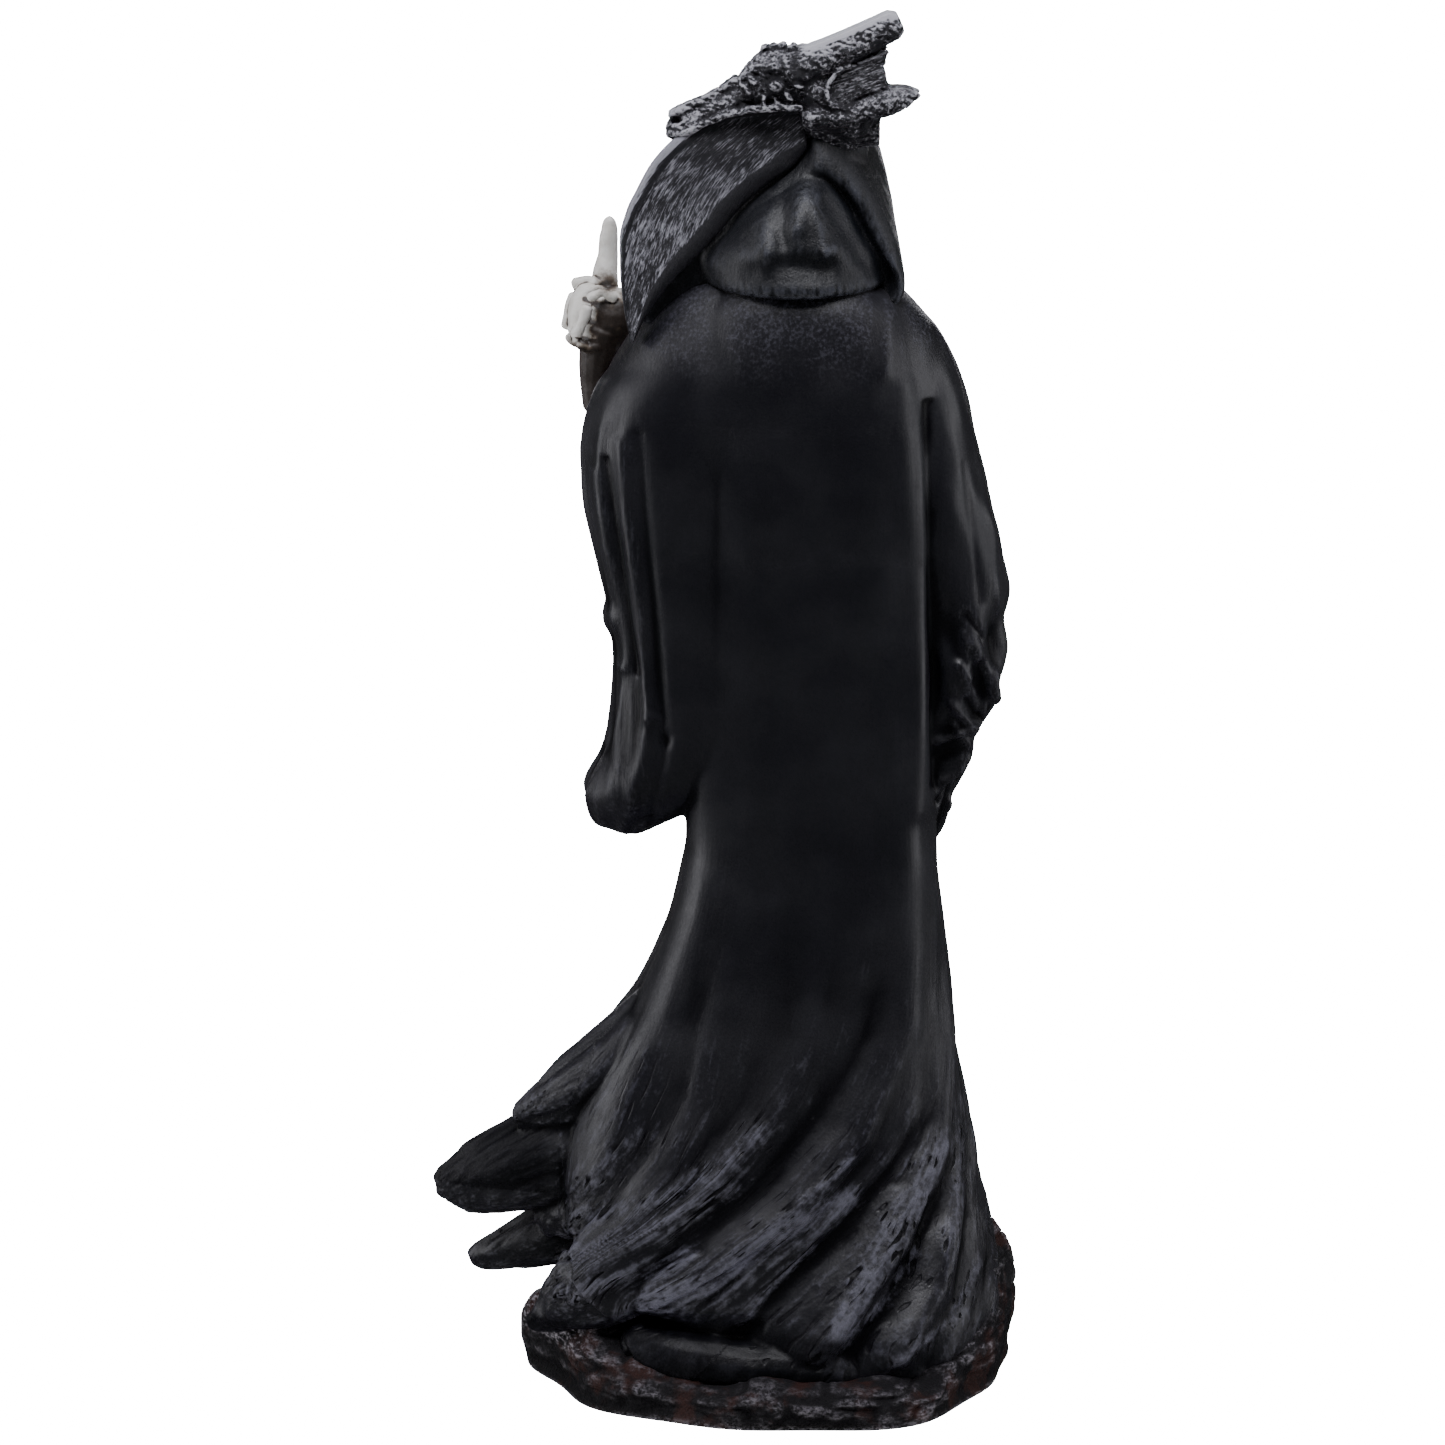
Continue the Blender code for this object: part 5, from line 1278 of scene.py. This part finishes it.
def dragon_skin(name):
    clay = Clay()
    dragon(clay)
    mesh, co = soft_skin(name, clay, DRAGON_VOXEL, 2)
    points = figure_units(co)
    x, y, z = points.T
    z = z - DRAGON_LIFT
    normal = read_normals(mesh)
    # pitted skin: cells that lean back along the head
    lean = np.stack([x + 0.6 * z, y, z - 0.4 * x], axis=1)
    smooth = smoothstep(0.55, 0.85, normal[:, 2]) * smoothstep(-6, -10, x)
    push = 0.10 * noise(lean, (1.8, 1.0, 0.8), 41) + 0.10 * noise(points, 0.55, 43)
    push -= 0.30 * smoothstep(0.10, 0.45, noise(lean, (0.9, 0.6, 0.5), 47)) + 0.06
    push *= 1 - 0.85 * smooth
    for side in (1, -1):
        away = ((x - NOSTRIL[0]) / 0.9) ** 2 + ((z - NOSTRIL[1]) / 0.6) ** 2
        push -= 1.2 * np.exp(-away) * ((y - DRAGON_MIDDLE) * side > 1)
    mesh = pushed(mesh, co, push)
    points = figure_units(read_points(mesh))
    normal = read_normals(mesh)
    edge, ridge = mark_relief(mesh, 3, 24)
    patches = grain(points, 3.0, 45, 3)
    x, y, z = points.T
    z = z - DRAGON_LIFT
    brush = -0.12 + 0.45 * smoothstep(-0.02, 0.08, edge) + 0.50 * smoothstep(0.0, 0.35, ridge)
    # Painted light from above: faces that look up get more silver, faces that look down less; the
    # patches are random
    brush += 0.20 * np.clip(normal[:, 2], -0.6, 1) + 0.25 * patches
    brush += 0.10 * smoothstep(10, 16, x)
    brush -= 0.30 * np.exp(-(((x + 2.6) / 5.5) ** 2 + ((z - 285.3) / 3.2) ** 2))
    out = (-13.4 - x) / 12.4
    row = (z - 280.4 - 4.0 * out) / (6.6 + 0.6 * out)
    web = band(out, 0.0, 0.08, 1.0, 1.06) * band(row, -0.08, 0.0, 1.0, 1.06)
    ribs = np.stack([row * 4.2, y * 0.5, out * 0.8], axis=1)
    set_value(mesh, "flow", np.where(web[:, None] > 0.5, ribs, points))
    brush = brush * (1 - web) + 0.20 * web
    # Painted highlight: a silver band on the upper faces of the horns
    horn_top_highlight = smoothstep(0.45, 0.80, normal[:, 2]) * smoothstep(-6, -10, x) * smoothstep(286, 288, z)
    brush += 1.2 * horn_top_highlight
    set_value(mesh, "brush", brush)
    return mesh


# Raised hand, in the plane of the photo: middle and half size of the palm, bones that stand out of it
# and the cracks between them, as two ends and a width
PALM = (33.4, 231.6)
PALM_HALF = (6.2, 7.0)
HAND_BONES = [((33.0, 237.2), (38.2, 237.4), 1.1), ((38.9, 234.8), (41.2, 229), 1.7)]
HAND_CRACKS = [((39.6, 236.3), (37.2, 235.4), 0.5), ((41.2, 228.1), (37.8, 227.2), 0.5)]
FINGER_FOOT = (34.6, 239.6)
# Levels below which each hand is darkened with painted shade
LEFT_WRIST_LEVEL = 227
RIGHT_WRIST_LEVEL = 120


def covered(marks, x, z):
    """How much of a point lies under the nearest of these strokes."""
    return np.max([stroke(x, z, *mark) for mark in marks], axis=0)


def hand_skin(name, shape, shaded_below):
    """Hand with a brown wash in its hollows; the raised one also has a palm and wrist darkened by brown
    wash and painted shade, and painted shade in its cracks.
    """
    clay = Clay()
    shape(clay)
    mesh, co = soft_skin(name, clay, HAND_VOXEL, 3)
    mesh = pushed(mesh, co, 0.08 * grain(figure_units(co), 1.8, 51, 2))
    points = figure_units(read_points(mesh))
    set_value(mesh, "flow", points)
    edge, ridge = mark_relief(mesh, 3, 36)
    x, z = points[:, 0], points[:, 2]
    # Brown wash and painted shade on the palm, the finger's foot and the wrist, and painted shade in
    # the cracks between the bones
    palm_wash_and_shade = np.exp(-(((x - PALM[0]) / PALM_HALF[0]) ** 2 + ((z - PALM[1]) / PALM_HALF[1]) ** 2) ** 2)
    bones = covered(HAND_BONES, x, z)
    foot = 0.6 * np.exp(-((z - FINGER_FOOT[1]) / 2.6) ** 2 - ((x - FINGER_FOOT[0]) / 2.6) ** 2)
    wrist_shade = 0.5 * (1 - smoothstep(225, 228, z)) + 0.5 * smoothstep(38.5, 36, x) * (z < 228)
    palm_wash_and_shade = palm_wash_and_shade * (1 - np.clip(1.4 * bones, 0, 1)) + foot + wrist_shade
    palm_wash_and_shade += 1.3 * covered(HAND_CRACKS, x, z)
    palm_wash_and_shade *= name == "left_hand"
    # painted shade on the wrist, below the given level
    low = 0.55 * (1 - smoothstep(shaded_below - 3, shaded_below + 2, z))
    hollow = smoothstep(0.02, -0.30, ridge) + 0.6 * smoothstep(0.0, -0.05, edge)
    stain_and_shade = 0.9 * hollow + 1.1 * palm_wash_and_shade + low + 0.3 * grain(points, 2.4, 55, 3)
    set_value(mesh, "brush", np.clip(stain_and_shade, 0, 1))
    return mesh


def skull_skin(name):
    clay = Clay()
    skull(clay)
    mesh, co = soft_skin(name, clay, SKULL_VOXEL, 2)
    points = figure_units(co)
    set_value(mesh, "flow", points)
    edge, ridge = mark_relief(mesh, 3, 36)
    hollow = smoothstep(0.05, -0.5, ridge) + 0.5 * smoothstep(0.0, -0.06, edge)
    set_value(mesh, "brush", np.clip(hollow + 0.25 * grain(points, 4, 57, 3), 0, 1))
    return mesh


def shaft_skin(name):
    clay = Clay()
    shaft(clay)
    mesh = lump_mesh(name, clay)
    points = figure_units(read_points(mesh))
    set_value(mesh, "flow", points)
    mark_relief(mesh, 1, 3)
    set_value(mesh, "brush", np.clip(0.35 + 0.4 * grain(points, (1.2, 1.2, 9), 59, 3), 0, 1))
    return mesh


# How far the hairs on the blade lean: (level, shift)
HAIR_LEAN = [(228, -0.6), (240, 3.0), (250, 6.0), (260, 9.8), (270, 17.0), (280, 28.5)]


def blade_skin(name):
    clay = Clay()
    share, along = blade(clay)
    mesh = lump_mesh(name, clay)
    co = figure_units(read_points(mesh))
    # the hairs lean more steeply than the blade itself
    hair = co[:, 0] + track(HAIR_LEAN, co[:, 2])
    set_value(mesh, "flow", np.stack([hair, co[:, 1], co[:, 2] * 0.13], axis=1))
    mark_relief(mesh, 1, 3)
    strokes = 0.26 + 0.14 * grain(co, 5, 77, 2)
    strokes += 0.12 * smoothstep(0.35, 0.2, share) - 0.10 * smoothstep(262, 270, co[:, 2])
    bare = 1 - band(share, 0.13, 0.21, 0.86, 0.92)
    spine = smoothstep(0.91, 0.94, share) * track([(0, 2.2), (35, 2.1), (60, 1.3)], along)
    set_value(mesh, "brush", strokes * (1 - bare) - 1.2 * bare + spine)
    return mesh


# How far the rock's surface is held inside the solid, on the whole and at least, in millimetres
ROCK_INSET = 0.65
LEAST_INSET = 0.05


def rock_skin(name):
    clay = Clay()
    rock(clay)
    mesh, co = soft_skin(name, clay, ROCK_VOXEL, 2, metres=True)
    points = co * 1000
    normal = read_normals(mesh)
    crag = noise(points, (16, 16, 8), 61) * 1.1 + grain(points, (5, 5, 2.4), 63, 4) * 0.42
    crag -= 0.6 * np.clip(1 - np.abs(noise(points, (9, 9, 3.2), 67)) / 0.18, 0, 1)
    push = np.minimum(crag - ROCK_INSET, -LEAST_INSET) * smoothstep(0.0, 3.0, points[:, 2])
    co = co + normal * (push * 0.001)[:, None]
    co[:, 2] = np.maximum(co[:, 2], 0.0)
    write_points(mesh, co)
    mesh = thinned(mesh, MOST_TRIANGLES)
    points = figure_units(read_points(mesh))
    x, y, z = points.T
    set_value(mesh, "flow", points)
    ridge = mark_relief(mesh, 3, 24)[1]
    flank = smoothstep(36, 44, x) * smoothstep(8, 12, z) * smoothstep(-10, 0, y)
    top = smoothstep(0.0, 0.4, ridge) * (0.35 + 0.3 * smoothstep(-20, -40, x))
    set_value(mesh, "worn", np.maximum(flank, top))
    return mesh


# Paint: the colours, linear

CLOTH_BLACK = (0.0016, 0.0015, 0.0024)
CLOTH_GREY = (0.0034, 0.0033, 0.0052)
# painted shade colour for the valleys, cut lines and underside of the robe
CLOTH_SHADE = (0.0006, 0.0006, 0.0008)
CLOTH_BRUSHED = (0.034, 0.034, 0.045)
HOOD_BLACK = (0.0016, 0.0018, 0.0026)
HOOD_GREY = (0.0034, 0.0038, 0.0052)
HOOD_BRUSHED = (0.030, 0.032, 0.042)
METAL_BLACK = (0.0024, 0.0024, 0.0034)
METAL_GREY = (0.0075, 0.0075, 0.0098)
SILVER = (0.23, 0.23, 0.25)
DULL_SILVER = (0.16, 0.16, 0.18)
BONE_PALE = (0.40, 0.40, 0.395)
BONE_YELLOWED = (0.24, 0.225, 0.19)
BONE_WASH_AND_SHADE = (0.055, 0.038, 0.024)
BONE_DARK_WASH_AND_SHADE = (0.012, 0.008, 0.006)
ROCK_BLACK = (0.0008, 0.0007, 0.0010)
ROCK_PURPLE = (0.0032, 0.0027, 0.0036)
ROCK_RUST = (0.013, 0.0038, 0.0026)
ROCK_BRUSHED = (0.070, 0.064, 0.075)
ROCK_SCRATCHED = (0.12, 0.112, 0.124)


class Paint:
    """Lays out the nodes of one painted finish."""

    def __init__(self, name):
        self.material = bpy.data.materials.new(name)
        self.material.use_nodes = True
        self.tree = self.material.node_tree
        self.shader = self.tree.nodes["Principled BSDF"]

    def node(self, kind, **settings):
        item = self.tree.nodes.new(kind)
        for key, value in settings.items():
            setattr(item, key, value)
        return item

    def feed(self, socket, value):
        if isinstance(value, bpy.types.NodeSocket):
            self.tree.links.new(value, socket)
        else:
            socket.default_value = value

    def attribute(self, name, output="Fac"):
        return self.node("ShaderNodeAttribute", attribute_name=name).outputs[output]

    def math(self, operation, a, b):
        item = self.node("ShaderNodeMath", operation=operation)
        self.feed(item.inputs[0], a)
        self.feed(item.inputs[1], b)
        return item.outputs[0]

    def times(self, a, b):
        return self.math("MULTIPLY", a, b)

    def plus(self, a, b):
        return self.math("ADD", a, b)

    def minus(self, a, b):
        return self.math("SUBTRACT", a, b)

    def step(self, value, low, high, start=0.0, end=1.0):
        item = self.node("ShaderNodeMapRange", interpolation_type="SMOOTHSTEP")
        sockets = ("Value", "From Min", "From Max", "To Min", "To Max")
        for socket, given in zip(sockets, (value, low, high, start, end)):
            self.feed(item.inputs[socket], given)
        return item.outputs["Result"]

    def stretch(self, vector, scale):
        item = self.node("ShaderNodeVectorMath", operation="MULTIPLY")
        self.feed(item.inputs[0], vector)
        item.inputs[1].default_value = scale
        return item.outputs[0]

    def noise(self, vector, scale, detail=3.0, rough=0.55):
        item = self.node("ShaderNodeTexNoise")
        self.feed(item.inputs["Vector"], vector)
        item.inputs["Scale"].default_value = scale
        item.inputs["Detail"].default_value = detail
        item.inputs["Roughness"].default_value = rough
        return item.outputs["Fac"]

    def mix(self, factor, a, b):
        item = self.node("ShaderNodeMix", data_type="RGBA")
        self.feed(item.inputs[0], factor)
        self.feed(item.inputs[6], a if isinstance(a, bpy.types.NodeSocket) else (*a, 1))
        self.feed(item.inputs[7], b if isinstance(b, bpy.types.NodeSocket) else (*b, 1))
        return item.outputs[2]

    def bump(self, height, strength, distance):
        item = self.node("ShaderNodeBump")
        item.inputs["Strength"].default_value = strength
        item.inputs["Distance"].default_value = distance
        self.feed(item.inputs["Height"], height)
        self.feed(self.shader.inputs["Normal"], item.outputs["Normal"])

    def finish(self, colour, roughness, **constants):
        self.feed(self.shader.inputs["Base Color"], colour)
        self.feed(self.shader.inputs["Roughness"], roughness)
        for key, value in constants.items():
            self.shader.inputs[key.replace("_", " ")].default_value = value
        return self.material


def cloth_paint():
    """Satin black with a bluish grey dry brush on the ridges of the folds, painted shade in the
    valleys, cut lines and under the hem, and a painted highlight on the shoulder tops.
    """
    paint = Paint("cloth_paint")
    flow = paint.attribute("flow", "Vector")
    worn = paint.attribute("worn")
    calm = paint.attribute("calm")
    strokes = paint.noise(paint.stretch(flow, (1, 1, 0.07)), 1.7, 4, 0.6)
    place = paint.attribute("place", "Vector")
    patches = paint.noise(place, 0.06, 3, 0.5)
    pores = paint.noise(place, 1.3, 4, 0.7)
    streaks = paint.plus(paint.times(strokes, 0.65), paint.times(pores, 0.35))
    streaks = paint.plus(streaks, paint.times(calm, paint.minus(pores, streaks)))
    streaks = paint.step(streaks, 0.34, 0.66)
    raised = paint.step(paint.attribute("edge"), -0.03, 0.07)
    lines = paint.noise(paint.stretch(flow, (1, 1, 0.035)), 1.9, 0, 0.5)
    here = paint.step(paint.noise(paint.stretch(flow, (1, 1, 0.4)), 0.22, 2, 0.5), 0.40, 0.60)
    slit = paint.times(paint.step(lines, 0.36, 0.27), here)
    slit = paint.times(slit, paint.step(calm, 0.4, 0.0))
    slit = paint.times(slit, paint.step(worn, 0.10, 0.45))
    score = paint.plus(paint.times(streaks, 0.50), paint.times(worn, 0.50))
    score = paint.plus(score, paint.times(raised, 0.35))
    score = paint.minus(score, slit)
    brushed = paint.times(paint.step(score, 0.55, 1.40), paint.step(worn, 0.02, 0.25))
    # no dry brush where the shade is painted
    brushed = paint.times(brushed, paint.step(paint.attribute("hem_and_tongue_shade"), 1.0, 0.0))
    hem_and_tongue_shade = paint.attribute("hem_and_tongue_shade")
    # Painted shade: the valleys of the folds, the fine cut lines and the shaded hem are darkened and
    # lose their sheen
    painted_shade = paint.math("MAXIMUM", paint.step(paint.attribute("ridge"), 0.12, -0.5), hem_and_tongue_shade)
    painted_shade = paint.math("MAXIMUM", painted_shade, slit)
    colour = paint.mix(patches, CLOTH_BLACK, CLOTH_GREY)
    colour = paint.mix(paint.times(painted_shade, 0.8), colour, CLOTH_SHADE)
    colour = paint.mix(brushed, colour, CLOTH_BRUSHED)
    paint.feed(paint.shader.inputs["Specular IOR Level"], paint.step(painted_shade, 0.0, 1.0, 0.24, 0.05))
    uneven = paint.plus(paint.times(patches, 0.7), paint.times(pores, 0.3))
    rough = paint.step(uneven, 0.35, 0.65, 0.36, 0.54)
    texture = paint.plus(strokes, paint.times(pores, 0.5))
    texture = paint.minus(texture, paint.times(slit, 2.0))
    paint.bump(paint.times(texture, paint.plus(worn, 0.08)), 0.6, 0.0007)
    return paint.finish(colour, rough)


def hood_paint():
    """Satin black, worn to grey where the hood is high."""
    paint = Paint("hood_paint")
    flow = paint.attribute("flow", "Vector")
    strokes = paint.noise(paint.stretch(flow, (1, 1, 0.3)), 0.7, 4, 0.6)
    pores = paint.noise(flow, 1.8, 4, 0.7)
    ridge = paint.step(paint.attribute("ridge"), 0.05, 0.7)
    brushed = paint.times(ridge, paint.step(strokes, 0.38, 0.62))
    colour = paint.mix(strokes, HOOD_BLACK, HOOD_GREY)
    colour = paint.mix(paint.times(brushed, 0.6), colour, HOOD_BRUSHED)
    rough = paint.step(paint.plus(strokes, pores), 0.7, 1.3, 0.34, 0.54)
    paint.bump(paint.plus(strokes, paint.times(pores, 0.8)), 0.45, 0.0005)
    return paint.finish(colour, rough, Specular_IOR_Level=0.22)


def silver_paint(name, across, weights, colour_high):
    """Black with silver brushed over what stands out, as streaks and specks."""
    paint = Paint(name)
    flow = paint.attribute("flow", "Vector")
    streaks = paint.noise(flow, across, 5, 0.65)
    specks = paint.noise(flow, across * 2.6, 4, 0.8)
    ragged = paint.plus(paint.times(streaks, weights[0]),
                        paint.times(specks, weights[1]))
    half = sum(weights) / 2
    silver = paint.step(paint.plus(paint.attribute("brush"), ragged), half + 0.18, half + 0.70)
    colour = paint.mix(streaks, METAL_BLACK, METAL_GREY)
    colour = paint.mix(silver, colour, colour_high)
    rough = paint.step(specks, 0.3, 0.7, 0.38, 0.56)
    paint.feed(paint.shader.inputs["Metallic"], paint.times(silver, 0.35))
    paint.bump(ragged, 0.5, 0.0004)
    return paint.finish(colour, rough, Specular_IOR_Level=0.16)


def bone_paint():
    """Off-white bone with a brown wash in the hollows; on the raised hand the wash colours also paint
    shade on the palm, wrist and cracks.
    """
    paint = Paint("bone_paint")
    flow = paint.attribute("flow", "Vector")
    mottle = paint.noise(flow, 0.5, 4, 0.6)
    fine = paint.noise(flow, 2.0, 4, 0.7)
    wash_and_shade = paint.step(paint.plus(paint.attribute("brush"), paint.times(fine, 0.5)), 0.35, 1.15)
    deep = paint.step(paint.plus(paint.attribute("brush"), paint.times(mottle, 0.4)), 0.80, 1.2)
    colour = paint.mix(mottle, BONE_PALE, BONE_YELLOWED)
    colour = paint.mix(wash_and_shade, colour, BONE_WASH_AND_SHADE)
    colour = paint.mix(deep, colour, BONE_DARK_WASH_AND_SHADE)
    paint.bump(fine, 0.25, 0.0003)
    return paint.finish(colour, 0.5, Specular_IOR_Level=0.3)


def rock_paint():
    """Purple grey with rusty patches and a pale dry brush."""
    paint = Paint("rock_paint")
    flow = paint.attribute("flow", "Vector")
    patches = paint.noise(flow, 0.09, 4, 0.6)
    speckle = paint.noise(flow, 1.3, 5, 0.7)
    ridge = paint.step(paint.attribute("ridge"), 0.05, 0.55)
    brushed = paint.times(ridge, paint.step(speckle, 0.42, 0.62))
    colour = paint.mix(speckle, ROCK_BLACK, ROCK_PURPLE)
    colour = paint.mix(paint.step(patches, 0.50, 0.62, 0.0, 0.85), colour, ROCK_RUST)
    colour = paint.mix(paint.times(brushed, 0.8), colour, ROCK_BRUSHED)
    scratches = paint.step(paint.noise(paint.stretch(flow, (0.35, 0.35, 1)), 1.5, 4, 0.7), 0.50, 0.62)
    scratches = paint.times(scratches, paint.attribute("worn"))
    colour = paint.mix(scratches, colour, ROCK_SCRATCHED)
    paint.bump(speckle, 0.8, 0.0010)
    return paint.finish(colour, 0.6, Specular_IOR_Level=0.10)


# Pieces

def dress(name, mesh, material):
    item = placed(name, mesh)
    for face in mesh.polygons:
        face.use_smooth = True
    mesh.materials.clear()
    mesh.materials.append(material)
    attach(item, "root")
    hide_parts("reaper_figurine")
    return item


def build_pieces():
    silver = silver_paint("silver_paint", 4.2, (2.0, 1.6), SILVER)
    brushed = silver_paint("blade_paint", 3.0, (2.3, 0.9), DULL_SILVER)
    bone_finish = bone_paint()
    dress("robe", cloth_skin("robe"), cloth_paint())
    dress("hood", hood_skin("hood"), hood_paint())
    dress("dragon_head", dragon_skin("dragon_head"), silver)
    dress("scythe_blade", blade_skin("scythe_blade"), brushed)
    dress("scythe_shaft", shaft_skin("scythe_shaft"), silver)
    dress("left_hand", hand_skin("left_hand", left_hand, LEFT_WRIST_LEVEL), bone_finish)
    dress("right_hand", hand_skin("right_hand", right_hand, RIGHT_WRIST_LEVEL), bone_finish)
    dress("skull", skull_skin("skull"), bone_finish)
    dress("rock", rock_skin("rock"), rock_paint())


# Studio

FLOOR_RADIUS = 0.5
FLOOR_GLOW = 3.0
FLOOR_SEEN = 30.0
BACKDROP_GLOW = 30.0
AMBIENT_GLOW = 0.06
LIGHT_TINT = (0.95, 0.95, 1.0)
LIGHT_AIM = (0, 0, 0.15)
# Softboxes: name, place, size and power
SOFTBOXES = [
    ("left_softbox", (0.95, -0.05, 0.30), (0.5, 0.9), 9),
    ("right_softbox", (-0.95, -0.05, 0.30), (0.5, 0.9), 6),
    ("top_softbox", (0, 0.30, 1.05), (0.8, 0.5), 26),
    ("front_softbox", (0, -1.2, 0.5), (0.8, 0.8), 9),
]
CAMERA_TARGET = (0.009467, 0.0, 0.1455)
CAMERA_DISTANCE = 1.3
CAMERA_RISE = math.radians(11.5)
CAMERA_LENS = 148.4


def seen_or_lighting(tree, seen, lighting):
    """A strength that is one value where it is seen and another where it lights the figure."""
    ray = tree.nodes.new("ShaderNodeLightPath")
    strength = tree.nodes.new("ShaderNodeMapRange")
    tree.links.new(ray.outputs["Is Camera Ray"], strength.inputs["Value"])
    strength.inputs["To Min"].default_value = lighting
    strength.inputs["To Max"].default_value = seen
    return strength.outputs["Result"]


def floor():
    """Round pale table top that glows softly, like a light table."""
    mesh = bpy.data.meshes.new("floor")
    sides = 96
    angle = np.arange(sides) * TURN / sides
    ring = [(FLOOR_RADIUS * math.cos(a), FLOOR_RADIUS * math.sin(a), 0) for a in angle]
    mesh.from_pydata(ring, [], [tuple(range(sides))])
    item = placed("floor", mesh)
    paint = Paint("floor_paint")
    glow = seen_or_lighting(paint.tree, FLOOR_SEEN, FLOOR_GLOW)
    paint.feed(paint.shader.inputs["Emission Strength"], glow)
    mesh.materials.append(paint.finish((0.86, 0.86, 0.86, 1), 0.8, Emission_Color=(1, 1, 1, 1)))
    item.visible_glossy = False


def area_light(name, place, size, power):
    light = bpy.data.lights.new(name, "AREA")
    light.shape = "RECTANGLE"
    light.size, light.size_y = size
    light.energy = power
    light.color = LIGHT_TINT
    item = placed(name, light)
    item.location = place
    direction = Vector(LIGHT_AIM) - Vector(place)
    item.rotation_euler = direction.to_track_quat("-Z", "Y").to_euler()


def lights():
    world_data = bpy.data.worlds.new("studio")
    bpy.context.scene.world = world_data
    world_data.use_nodes = True
    tree = world_data.node_tree
    background = tree.nodes["Background"]
    background.inputs["Color"].default_value = (1, 1, 1, 1)
    tree.links.new(seen_or_lighting(tree, BACKDROP_GLOW, AMBIENT_GLOW), background.inputs["Strength"])
    for softbox in SOFTBOXES:
        area_light(*softbox)


def camera():
    data = bpy.data.cameras.new("camera")
    data.lens = CAMERA_LENS
    data.sensor_width = 36
    item = placed("camera", data)
    target = Vector(CAMERA_TARGET)
    away = Vector((0, math.cos(CAMERA_RISE), math.sin(CAMERA_RISE)))
    item.location = target + away * CAMERA_DISTANCE
    item.rotation_euler = (-away).to_track_quat("-Z", "Y").to_euler()
    bpy.context.scene.camera = item


build_pieces()
floor()
lights()
camera()
